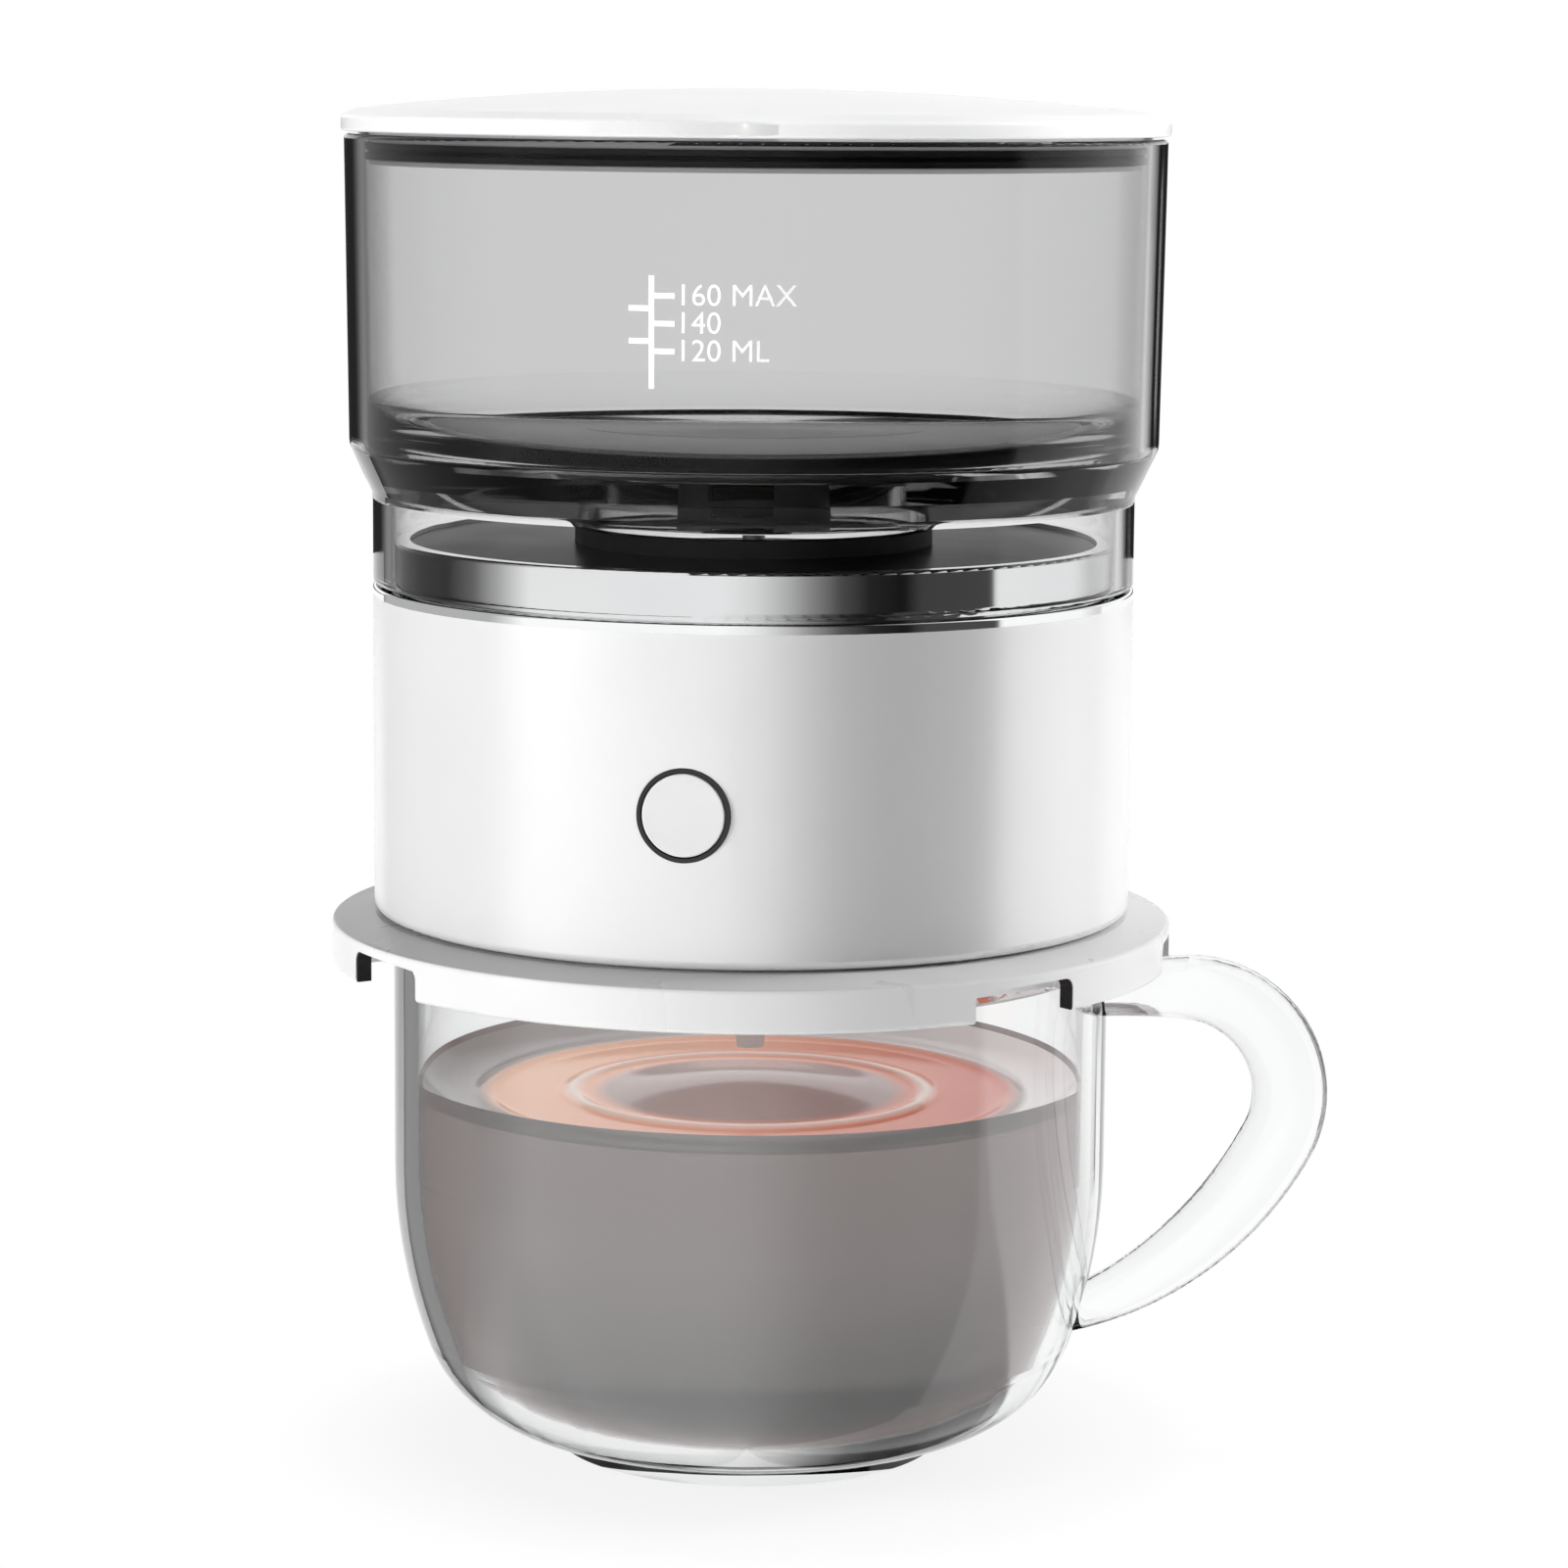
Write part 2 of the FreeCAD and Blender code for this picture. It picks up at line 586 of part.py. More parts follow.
def make_cup_holder():
    """The ring that stands on the mug: seat and spigot above, notched skirt and drip funnel below."""
    body = new_body("cup_holder")
    inner_floor = f"({HOLDER_TOP} - filter_ledge + filter_foot)"
    funnel_mouth = f"({FILTER_SEAT} - filter_wall * 2)"
    funnel_foot = f"({FILTER_BASE} - funnel_depth)"
    drip_tip = f"({funnel_foot} - drip_length)"
    spigot_top = f"({HOLDER_TOP} + spigot_height)"
    rib_low = f"({HOLDER_UNDER} - rib_depth)"
    turn_solid(
        body,
        "ring",
        [
            (HOLDER_RADIUS, SKIRT_LOW),
            (HOLDER_RADIUS, f"({HOLDER_TOP} - holder_fall)"),
            ("body_radius", HOLDER_TOP),
            (SPIGOT_RADIUS, HOLDER_TOP),
            (SPIGOT_RADIUS, spigot_top),
            (f"({SPIGOT_RADIUS} - spigot_wall)", spigot_top),
            (f"({SPIGOT_RADIUS} - spigot_wall)", inner_floor),
            (FILTER_SEAT, inner_floor),
            (FILTER_SEAT, FILTER_BASE),
            (funnel_mouth, FILTER_BASE),
            ("drip_bore", funnel_foot),
            ("drip_bore", drip_tip),
            ("(drip_bore + drip_wall)", drip_tip),
            ("(drip_bore + drip_wall * 2)", f"({funnel_foot} - funnel_wall)"),
            (FILTER_SEAT, HOLDER_UNDER),
            (f"({RIB_RADIUS} - rib_wall)", HOLDER_UNDER),
            (f"({RIB_RADIUS} - rib_wall)", rib_low),
            (RIB_RADIUS, rib_low),
            (RIB_RADIUS, HOLDER_UNDER),
            (HOLDER_BORE, HOLDER_UNDER),
            (HOLDER_BORE, SKIRT_LOW),
        ],
    )
    rims = rim_at((HOLDER_RADIUS, f"({HOLDER_TOP} - holder_fall)"), (HOLDER_RADIUS, SKIRT_LOW))
    round_edges(body, "edge_round", "holder_edge", rims)

    # Notches in the skirt: steam leaves by a pair at the front and one at the back, and the pair at the sides
    # lets the mug's handle through on either hand.
    cuts = []
    start = f"({HOLDER_BORE} - holder_wall)"
    low, high = f"({SKIRT_LOW} - holder_edge)", f"({SKIRT_LOW} + notch_height)"
    notches = (
        ("front_notch", "notch_angle", "notch_width"),
        ("back_notch", "(180 - notch_angle)", "notch_width"),
        ("handle_notch", "90", HANDLE_NOTCH),
    )
    for name, angle, width in notches:
        half = f"({width} / 2)"
        sketch = new_sketch(body, name)
        sketch.AttachmentOffset = Placement(Vector(), Rotation(Vector(0, 1, 0), value(angle)))
        sketch.setExpression("AttachmentOffset.Rotation.Angle", bound(angle))
        sketch.setExpression("AttachmentOffset.Base.x", bound(f"{start} * sin({angle})"))
        sketch.setExpression("AttachmentOffset.Base.z", bound(f"{start} * cos({angle})"))
        draw_chain(
            sketch,
            [
                (f"-{half}", low),
                (half, low),
                (half, f"({high} - notch_round)"),
                (f"({half} - notch_round)", high, "notch_round", 1),
                (f"(notch_round - {half})", high),
                (f"-{half}", f"({high} - notch_round)", "notch_round", 1),
            ],
        )
        cuts.append(push_sketch(body, name, sketch, "holder_wall * 4", "PartDesign::Pocket", True))
    mirror = body.newObject("PartDesign::Mirrored", "cup_holder_notch_pair")
    mirror.Originals = cuts
    mirror.MirrorPlane = (datum(body, "YZ_Plane"), [""])
    body.Tip = mirror
    doc.recompute()
    return body


def make_filter_frame():
    """Moulded basket frame: foot ring, tapered wall with windows and a plain rim."""
    body = new_body("filter_frame")
    foot_top = f"({FILTER_BASE} + filter_foot)"
    floor_top = f"({FILTER_BASE} + filter_floor)"
    turn_solid(
        body,
        "basket",
        [
            (f"({FILTER_SEAT} - filter_wall * 4)", FILTER_BASE),
            (f"({FILTER_SEAT} - rest_gap)", FILTER_BASE),
            (f"({FILTER_SEAT} - rest_gap)", foot_top),
            (f"({FILTER_RADIUS} - filter_draft)", foot_top),
            (FILTER_RADIUS, FILTER_TOP),
            (f"({FILTER_RADIUS} - filter_wall)", FILTER_TOP),
            (f"({FILTER_RADIUS} - filter_draft - filter_wall)", floor_top),
            (f"({FILTER_SEAT} - filter_wall * 4)", floor_top),
        ],
    )
    window = new_sketch(body, "window")
    middle = f"({FILTER_BASE} + filter_height / 2)"
    low, high = f"({middle} - window_height / 2)", f"({middle} + window_height / 2)"
    draw_rectangle(window, "-window_width / 2", "window_width / 2", low, high)
    cut = push_sketch(body, "window_cut", window, FILTER_SEAT, "PartDesign::Pocket", True)
    turn_pattern(body, "windows", [cut], "window_count")
    return body


def make_filter_mesh():
    """Thin steel cup inside the frame, with its drain holes in rings."""
    body = new_body("filter_mesh")
    low = f"({FILTER_BASE} + filter_floor)"
    top = f"({FILTER_TOP} - filter_foot)"
    foot = f"({FILTER_RADIUS} - filter_draft - filter_wall - mesh_gap)"
    mouth = f"({FILTER_RADIUS} - filter_wall - mesh_gap * 2)"
    turn_solid(
        body,
        "cup",
        [
            ("0", low),
            (foot, low),
            (mouth, top),
            (f"({mouth} - mesh_gauge)", top),
            (f"({foot} - mesh_gauge)", f"({low} + mesh_gauge)"),
            ("0", f"({low} + mesh_gauge)"),
        ],
    )
    for number, name in enumerate(("inner", "outer"), start=1):
        hole = new_sketch(body, f"{name}_hole", "XY_Plane", low)
        draw_circles(hole, f"({FILTER_RADIUS} / 3 * {number})", "0", "mesh_hole")
        drain = push_sketch(body, f"{name}_drain", hole, "mesh_gauge * 2", "PartDesign::Pocket", True)
        turn_pattern(body, f"{name}_drains", [drain], str(6 * number))
    return body


def make_body_shell():
    """White sleeve of the powered unit, with screw bosses, button hole and charging slot."""
    body = new_body("body_shell")
    turn_solid(
        body,
        "sleeve",
        [
            (BODY_BORE, BODY_LOW),
            ("body_radius", BODY_LOW),
            ("body_radius", BODY_TOP),
            (BODY_BORE, BODY_TOP),
        ],
    )
    round_edges(body, "foot_round", "body_edge", rim_at(("body_radius", BODY_LOW)))
    boss = new_sketch(body, "boss", "XY_Plane", FLANGE_TOP)
    draw_circles(boss, *on_circle(BOSS_CIRCLE, "45"), "boss_radius", "(screw_radius + run_gap)")
    post = push_sketch(body, "boss_post", boss, "boss_height")
    turn_pattern(body, "boss_posts", [post], "4")

    hole = new_sketch(body, "button_hole", "XZ_Plane", "(body_radius - body_wall * 2)")
    draw_circles(hole, "0", BUTTON_AXIS, f"({BEZEL_RADIUS} + run_gap)")
    push_sketch(body, "button_cut", hole, "body_wall * 3", "PartDesign::Pocket", True)

    slot = new_sketch(body, "port_slot", "XZ_Plane", "-(body_radius - body_wall * 2)")
    gap = "mesh_gap * 2"
    half = f"(port_width / 2 + {gap})"
    low, high = f"({PORT_LOW} - {gap})", f"({PORT_LOW} + port_height + {gap})"
    draw_rectangle(slot, f"-{half}", half, low, high)
    push_sketch(body, "port_cut", slot, "body_wall * 3", "PartDesign::Pocket")
    return body


def make_trim_ring():
    """Chrome ring: the ledge that the tank stands on, its upright band and a shelf for the deck."""
    body = new_body("trim_ring")
    shelf_low = f"({DECK_UNDER} - trim_ledge)"
    turn_solid(
        body,
        "band",
        [
            (f"({TRIM_BORE} - deck_shelf)", shelf_low),
            (TRIM_BORE, shelf_low),
            (TRIM_BORE, BODY_TOP),
            ("body_radius", BODY_TOP),
            ("body_radius", LEDGE_TOP),
            (TRIM_RADIUS, LEDGE_TOP),
            (TRIM_RADIUS, TRIM_TOP),
            (TRIM_BORE, TRIM_TOP),
            (TRIM_BORE, DECK_UNDER),
            (f"({TRIM_BORE} - deck_shelf)", DECK_UNDER),
        ],
    )
    rims = rim_at((TRIM_RADIUS, TRIM_TOP), ("body_radius", LEDGE_TOP))
    round_edges(body, "edge_round", "trim_ledge / 3", rims)
    return body


def make_top_deck():
    """Black deck with the water well, its drain ports and the hub that the shower turns on."""
    body = new_body("top_deck")
    boss_top = f"({DECK_TOP} - pin_radius)"
    turn_solid(
        body,
        "plate",
        [
            ("(pin_radius + mesh_gap * 2)", boss_top),
            ("(pin_radius + well_wall)", boss_top),
            ("(pin_radius + well_wall)", WELL_TOP),
            ("well_radius", WELL_TOP),
            ("well_radius", DECK_TOP),
            (f"({TRIM_BORE} - mesh_gap)", DECK_TOP),
            (f"({TRIM_BORE} - mesh_gap)", DECK_UNDER),
            ("(well_radius + well_wall)", DECK_UNDER),
            ("(well_radius + well_wall)", WELL_UNDER),
            ("hub_radius", WELL_UNDER),
            ("hub_radius", CAP_TOP),
            ("hub_bore", CAP_TOP),
            ("hub_bore", f"({COIL_TOP} + mesh_gap)"),
            ("(pin_radius + mesh_gap * 2)", f"({COIL_TOP} + mesh_gap)"),
        ],
    )
    port = new_sketch(body, "port", "XY_Plane", WELL_TOP)
    draw_circles(port, "port_circle", "0", "port_radius")
    drain = push_sketch(body, "port_cut", port, "well_wall * 2", "PartDesign::Pocket")
    turn_pattern(body, "ports", [drain], "4")
    return body


def make_ring(label, inner, outer, low, high):
    """A plain ring such as a seal, with small chamfers left to its mould."""
    body = new_body(label)
    turn_solid(body, "ring", [(inner, low), (outer, low), (outer, high), (inner, high)])
    return body


def make_chamber_liner():
    """Brew chamber tube with the flange that closes the unit from below and carries what is inside."""
    body = new_body("chamber_liner")
    edge = f"({BODY_BORE} - rest_gap)"
    turn_solid(
        body,
        "tube",
        [
            ("liner_radius", f"({BODY_LOW} + rest_gap)"),
            (LINER_OUTER, f"({BODY_LOW} + rest_gap)"),
            (LINER_OUTER, FLANGE_LOW),
            (edge, FLANGE_LOW),
            (edge, FLANGE_TOP),
            (LINER_OUTER, FLANGE_TOP),
            (LINER_OUTER, LINER_TOP),
            ("liner_radius", LINER_TOP),
        ],
    )
    hole = new_sketch(body, "screw_hole", "XY_Plane", FLANGE_TOP)
    draw_circles(hole, *on_circle(BOSS_CIRCLE, "45"), "(screw_radius + mesh_gap * 2)")
    cut = push_sketch(body, "screw_cut", hole, "liner_flange * 2", "PartDesign::Pocket")
    turn_pattern(body, "screw_cuts", [cut], "4")

    cradle = new_sketch(body, "motor_cradle", "XY_Plane", FLANGE_TOP)
    bore = "(motor_radius + mesh_gap)"
    near, far = f"({LINER_OUTER} - liner_wall / 2)", f"({edge} - slip_gap)"
    draw_rectangle(cradle, near, far, f"-({bore} + socket_wall)", f"({bore} + socket_wall)")
    push_sketch(body, "motor_cradle_block", cradle, "motor_socket_height")
    socket = new_sketch(body, "motor_socket", "XY_Plane", f"({FLANGE_TOP} + motor_socket_height)")
    draw_circles(socket, DRIVE_CIRCLE, "0", bore)
    push_sketch(body, "motor_socket_cut", socket, "motor_socket_height", "PartDesign::Pocket")
    for number in (-1, 0, 1):
        socket = new_sketch(body, f"cell_socket_{number + 2}", "XY_Plane", FLANGE_TOP)
        across, up = on_circle(DRIVE_CIRCLE, f"(180 + cell_spacing * {number})")
        bore = "(cell_radius + mesh_gap)"
        draw_circles(socket, across, up, f"({bore} + socket_wall)", bore)
        push_sketch(body, f"cell_socket_wall_{number + 2}", socket, "cell_socket_height")
    return body


def make_base_screws():
    """Four screws that hold the liner's flange to the shell's bosses, as one group."""
    screws = []
    for quarter in range(4):
        angle = math.radians(45 + 90 * quarter)
        circle = value(BOSS_CIRCLE)
        foot = Vector(circle * math.cos(angle), circle * math.sin(angle), value(FLANGE_LOW))
        head_height = value("screw_head_height")
        head = Part.makeCylinder(value("screw_head_radius"), head_height, foot - Vector(0, 0, head_height))
        length = value("liner_flange + boss_height - screw_radius")
        shank = Part.makeCylinder(value("screw_radius"), length, foot)
        screws.append(head.fuse(shank).removeSplitter())
    return plain_feature("base_screws", Part.makeCompound(screws))


def make_battery_cells():
    """Three upright cells in their sockets, as one group."""
    cells = []
    for number in (-1, 0, 1):
        angle = math.radians(180 + value("cell_spacing") * number)
        circle = value(DRIVE_CIRCLE)
        foot = Vector(circle * math.cos(angle), circle * math.sin(angle), value(FLANGE_TOP))
        can = Part.makeCylinder(value("cell_radius"), value("cell_length"), foot)
        nub_foot = foot + Vector(0, 0, value("cell_length"))
        nub = Part.makeCylinder(value("cell_radius / 2.5"), value("socket_wall"), nub_foot)
        cells.append(can.fuse(nub))
    return plain_feature("battery_cells", Part.makeCompound(cells))


def gear_wire(teeth):
    """The outline of an external gear, its flanks drawn through the involute at base, pitch and tip."""
    module = value("gear_module")
    pitch = module * teeth / 2
    pressure = math.radians(20)
    base = pitch * math.cos(pressure)
    tip, root = pitch + module * 0.95, pitch - module * 1.25

    def involute(radius):
        angle = math.acos(min(base / radius, 1.0))
        return math.tan(angle) - angle

    half = math.pi / (2 * teeth) - value("gear_backlash") / (2 * pitch)
    stations = [max(base, root), pitch, tip]
    flank = [(r, half + involute(pitch) - involute(r)) for r in stations]
    if root < base:
        flank.insert(0, (root, flank[0][1]))
    points = []
    for tooth in range(teeth):
        middle = 2 * math.pi * tooth / teeth
        for radius, angle in [(r, -a) for r, a in flank] + [(r, a) for r, a in reversed(flank)]:
            points.append(Vector(radius * math.cos(middle + angle), radius * math.sin(middle + angle), 0))
    return Part.makePolygon(points + points[:1])


def gear_solid(teeth, bore):
    """A flat gear of the given number of teeth about Z, bored through."""
    outline = [gear_wire(teeth), Part.Wire(Part.makeCircle(bore))]
    return Part.makeFace(outline, "Part::FaceMakerBullseye").extrude(Vector(0, 0, value("gear_width")))


def make_drive_pinion():
    """Small gear on the motor's shaft, turned half a tooth so that it meshes at rest."""
    teeth = int(value("pinion_teeth"))
    # A tooth of the ring points along +X at rest, so the pinion shows it a gap along -X.
    gap_turn = 180.0 / teeth if teeth % 2 == 0 else 0.0
    feature = plain_feature("drive_pinion", gear_solid(teeth, value("shaft_radius + run_gap / 4")))
    spot = Vector(value(DRIVE_CIRCLE), 0, value(GEAR_LOW))
    feature.Placement = Placement(spot, Rotation(Vector(0, 0, 1), gap_turn))
    return feature


def make_sprinkler():
    """Rotating shower: a gutter that runs on the deck's hub, three spouts and the toothed rim."""
    dish = new_body("sprinkler_dish")
    floor_top = f"({GEAR_LOW} + gutter_floor)"
    wall_top = f"({GEAR_LOW} + gutter_height)"
    bore = "(hub_radius + run_gap)"
    turn_solid(
        dish,
        "gutter",
        [
            (bore, GEAR_LOW),
            (GEAR_RIM, GEAR_LOW),
            (GEAR_RIM, floor_top),
            (GUTTER_RADIUS, floor_top),
            (GUTTER_RADIUS, wall_top),
            (f"({GUTTER_RADIUS} - gutter_wall)", wall_top),
            (f"({GUTTER_RADIUS} - gutter_wall)", floor_top),
            (f"({bore} + gutter_wall)", floor_top),
            (f"({bore} + gutter_wall)", wall_top),
            (bore, wall_top),
        ],
    )
    first = "(hub_cap_radius + spout_radius + spout_clear)"
    last = f"({GUTTER_RADIUS} - gutter_wall - spout_inset)"
    for number in range(3):
        across, up = on_circle(f"({first} + ({last} - {first}) * {number} / 2)", str(120 * number + 60))
        sketch = new_sketch(dish, f"spout_{number + 1}", "XY_Plane", GEAR_LOW)
        draw_circles(sketch, across, up, "spout_radius")
        push_sketch(dish, f"spout_tube_{number + 1}", sketch, "spout_length", "PartDesign::Pad", True)
        sketch = new_sketch(dish, f"spout_hole_{number + 1}", "XY_Plane", floor_top)
        draw_circles(sketch, across, up, "spout_bore")
        depth = "(spout_length + gutter_floor * 2)"
        push_sketch(dish, f"spout_bore_{number + 1}", sketch, depth, "PartDesign::Pocket")

    rim_feature = plain_feature("sprinkler_teeth", gear_solid(int(value(RING_TEETH)), value(GEAR_RIM)))
    rim_feature.Placement = Placement(Vector(0, 0, value(GEAR_LOW)), Rotation())
    whole = doc.addObject("Part::Fuse", "sprinkler")
    whole.Label = "sprinkler"
    whole.Base = dish
    whole.Tool = rim_feature
    whole.Refine = True
    doc.recompute()
    return whole


def make_drive_motor():
    """Upright motor can with its nose bush bored for the shaft."""
    body = new_body("drive_motor")
    can = new_sketch(body, "can", "XY_Plane", FLANGE_TOP)
    draw_circles(can, DRIVE_CIRCLE, "0", "motor_radius")
    push_sketch(body, "can_wall", can, "motor_length")
    top = f"({FLANGE_TOP} + motor_length)"
    nose = new_sketch(body, "nose", "XY_Plane", top)
    draw_circles(nose, DRIVE_CIRCLE, "0", "motor_nose_radius")
    push_sketch(body, "nose_bush", nose, "motor_nose_length")
    bore = new_sketch(body, "bore", "XY_Plane", f"({top} + motor_nose_length)")
    draw_circles(bore, DRIVE_CIRCLE, "0", "(shaft_radius + run_gap)")
    push_sketch(body, "bore_cut", bore, "motor_radius * 2", "PartDesign::Pocket")
    return body


def make_motor_shaft():
    """Steel shaft between the motor and the pinion."""
    shaft = doc.addObject("Part::Cylinder", "motor_shaft")
    shaft.Label = "motor_shaft"
    low = f"({FLANGE_TOP} + motor_length - motor_radius)"
    shaft.setExpression("Radius", bound("shaft_radius"))
    shaft.setExpression("Height", bound(f"{GEAR_TOP} + shaft_radius - {low}"))
    shaft.setExpression("Placement.Base.x", bound(DRIVE_CIRCLE))
    shaft.setExpression("Placement.Base.z", bound(low))
    return shaft


def make_solenoid_coil():
    """Coil inside the deck's hub, bored for the lifting pin."""
    low = f"({CAP_TOP} + rest_gap / 3)"
    return make_ring("solenoid_coil", "(plunger_radius + mesh_gap)", "(hub_bore - mesh_gap)", low, COIL_TOP)


def make_hub_cap():
    """Cap that closes the hub and carries the shower from below."""
    body = new_body("hub_cap")
    low = f"({CAP_TOP} - hub_cap_thickness)"
    turn_solid(
        body,
        "disc",
        [("0", low), ("hub_cap_radius", low), ("hub_cap_radius", CAP_TOP), ("0", CAP_TOP)],
    )
    return body


def make_lift_pin():
    """Solenoid plunger and the slim pin that pushes the tank's valve off its seat."""
    body = new_body("lift_pin")
    low = f"({CAP_TOP} + rest_gap)"
    step = f"({low} + plunger_length)"
    turn_solid(
        body,
        "pin",
        [("0", low), ("plunger_radius", low), ("plunger_radius", step), ("pin_radius", step),
         ("pin_radius", PIN_TOP), ("0", PIN_TOP)],
    )
    return body


def make_water_tank():
    """Smoked tank: straight skirt, coned shoulder, drafted wall, sloping floor and the sump's collar."""
    body = new_body("water_tank")
    foot = f"({TANK_RADIUS} - tank_draft)"
    floor_edge = f"({SHOULDER_TOP} - floor_fall)"
    floor_inner = f"({floor_edge} - floor_fall)"
    ceiling = f"({floor_inner} - floor_thickness)"
    turn_solid(
        body,
        "wall",
        [
            (SKIRT_RADIUS, TANK_LOW),
            (SKIRT_RADIUS, SHOULDER_LOW),
            (foot, SHOULDER_TOP),
            (TANK_RADIUS, TANK_TOP),
            (TANK_BORE, TANK_TOP),
            (f"({foot} - tank_wall)", SHOULDER_TOP),
            (f"({foot} - tank_wall - floor_fall)", floor_edge),
            ("sump_radius", floor_inner),
            ("sump_radius", SUMP_TOP),
            ("valve_seat_radius", SUMP_TOP),
            ("valve_seat_radius", SUMP_UNDER),
            ("sump_radius", SUMP_UNDER),
            ("sump_radius", COLLAR_LOW),
            (COLLAR_RADIUS, COLLAR_LOW),
            (f"({COLLAR_RADIUS} + collar_draft)", ceiling),
            (SKIRT_BORE, f"({ceiling} + floor_fall / 2)"),
            (SKIRT_BORE, TANK_LOW),
        ],
    )
    collar = rim_at((f"({COLLAR_RADIUS} + collar_draft)", ceiling))
    round_edges(body, "collar_round", "collar_fillet", collar)
    bends = rim_at((SKIRT_RADIUS, SHOULDER_LOW), (foot, SHOULDER_TOP))
    round_edges(body, "shoulder_round", "shoulder_round", bends)
    rims = rim_at((TANK_RADIUS, TANK_TOP), (TANK_BORE, TANK_TOP), (SKIRT_RADIUS, TANK_LOW))
    round_edges(body, "rim_round", "tank_wall / 4", rims)
    return body


def make_valve_seat():
    """Soft grommet in the sump floor that the valve closes on."""
    body = new_body("valve_seat")
    outer = "(valve_seat_radius - run_gap)"
    turn_solid(
        body,
        "grommet",
        [
            ("valve_seat_bore", SUMP_UNDER),
            (outer, SUMP_UNDER),
            (outer, SUMP_TOP),
            ("valve_seat_flange", SUMP_TOP),
            ("valve_seat_flange", SEAT_TOP),
            ("valve_seat_bore", SEAT_TOP),
        ],
    )
    return body


def make_valve_plunger():
    """Valve: stem below for the lifting pin, flat head and a guide stem above."""
    body = new_body("valve_plunger")
    top = f"({CAGE_TOP} + rest_gap)"
    turn_solid(
        body,
        "poppet",
        [("0", STEM_LOW), ("valve_stem_radius", STEM_LOW), ("valve_stem_radius", HEAD_LOW),
         ("valve_head_radius", HEAD_LOW), ("valve_head_radius", HEAD_TOP), ("valve_guide_radius", HEAD_TOP),
         ("valve_guide_radius", top), ("0", top)],
    )
    return body


def make_valve_cage():
    """Slotted cage over the valve that guides its upper stem."""
    body = new_body("valve_cage")
    roof = f"({CAGE_TOP} - cage_roof)"
    turn_solid(
        body,
        "cage",
        [("(cage_radius - cage_wall)", SUMP_TOP), ("cage_radius", SUMP_TOP), ("cage_radius", CAGE_TOP),
         ("(valve_guide_radius + mesh_gap)", CAGE_TOP), ("(valve_guide_radius + mesh_gap)", roof),
         ("(cage_radius - cage_wall)", roof)],
    )
    slot = new_sketch(body, "slot")
    low, high = f"({SUMP_TOP} - cage_wall)", f"({roof} - cage_roof)"
    draw_rectangle(slot, "-cage_window / 2", "cage_window / 2", low, high)
    cut = push_sketch(body, "slot_cut", slot, "cage_radius * 2", "PartDesign::Pocket", True)
    turn_pattern(body, "slots", [cut], "3")
    return body


def make_tank_lid():
    """White crowned lid with a plug that carries the seal and a small vent."""
    body = new_body("tank_lid")
    groove_low, groove_high = f"({PLUG_LOW} + seal_groove)", f"({PLUG_LOW} + seal_groove + seal_height)"
    crown_edge = f"({LID_RADIUS} - lid_edge)"
    crown = f"(({crown_edge}^2 + lid_crown^2) / (2 * lid_crown))"
    plug_bore = f"({PLUG_RADIUS} - lid_plug_wall)"
    turn_solid(
        body,
        "crown",
        [
            (LID_RADIUS, LID_LOW),
            (LID_RADIUS, f"({LID_LOW} + lid_edge)"),
            (crown_edge, LID_SHOULDER),
            ("0", f"({LID_SHOULDER} + lid_crown)", crown, 1),
            ("0", f"({LID_SHOULDER} + lid_crown - lid_wall)"),
            (plug_bore, f"({LID_LOW} + seal_groove)"),
            (plug_bore, PLUG_LOW),
            (PLUG_RADIUS, PLUG_LOW),
            (PLUG_RADIUS, groove_low),
            (f"({PLUG_RADIUS} - seal_groove)", groove_low),
            (f"({PLUG_RADIUS} - seal_groove)", groove_high),
            (PLUG_RADIUS, groove_high),
            (PLUG_RADIUS, LID_LOW),
        ],
    )
    rims = rim_at((LID_RADIUS, LID_LOW), (LID_RADIUS, f"({LID_LOW} + lid_edge)"), (crown_edge, LID_SHOULDER))
    round_edges(body, "edge_round", "lid_edge / 4", rims)
    vent = new_sketch(body, "vent", "XY_Plane", f"({LID_SHOULDER} + lid_crown)")
    draw_circles(vent, f"({LID_RADIUS} - vent_inset)", "0", "vent_radius")
    push_sketch(body, "vent_cut", vent, "lid_crown * 3", "PartDesign::Pocket")
    return body


def make_lid_seal():
    """Black seal in the lid's groove, drawn as two lips with a hollow between them."""
    body = new_body("lid_seal")
    low = f"({PLUG_LOW} + seal_groove + mesh_gap)"
    high = f"({PLUG_LOW} + seal_groove + seal_height - mesh_gap)"
    inner = f"({PLUG_RADIUS} - seal_groove + run_gap)"
    outer = f"({TANK_BORE} - rest_gap)"
    middle, lip = f"(({low} + {high}) / 2)", f"(({high} - {low}) / 3)"
    turn_solid(
        body,
        "lips",
        [
            (inner, low),
            (outer, low),
            (outer, f"({low} + {lip})"),
            (f"({outer} - seal_groove)", middle),
            (outer, f"({high} - {lip})"),
            (outer, high),
            (inner, high),
        ],
    )
    return body


def make_power_button():
    """Round push button with its stem, in front of the switch."""
    body = new_body("power_button")
    face = new_sketch(body, "face", "XZ_Plane", BUTTON_BACK)
    draw_circles(face, "0", BUTTON_AXIS, "button_radius")
    push_sketch(body, "cap", face, "button_thickness")
    front = value(BUTTON_FACE)
    round_edges(body, "cap_round", "bezel_wall / 2", lambda edge: abs(edge.BoundBox.YMin + front) < MATCH
                and abs(edge.BoundBox.YMax + front) < MATCH)
    stem = new_sketch(body, "stem", "XZ_Plane", BUTTON_BACK)
    draw_circles(stem, "0", BUTTON_AXIS, "button_stem_radius")
    push_sketch(body, "stem_post", stem, "button_stem_length", "PartDesign::Pad", True)
    return body


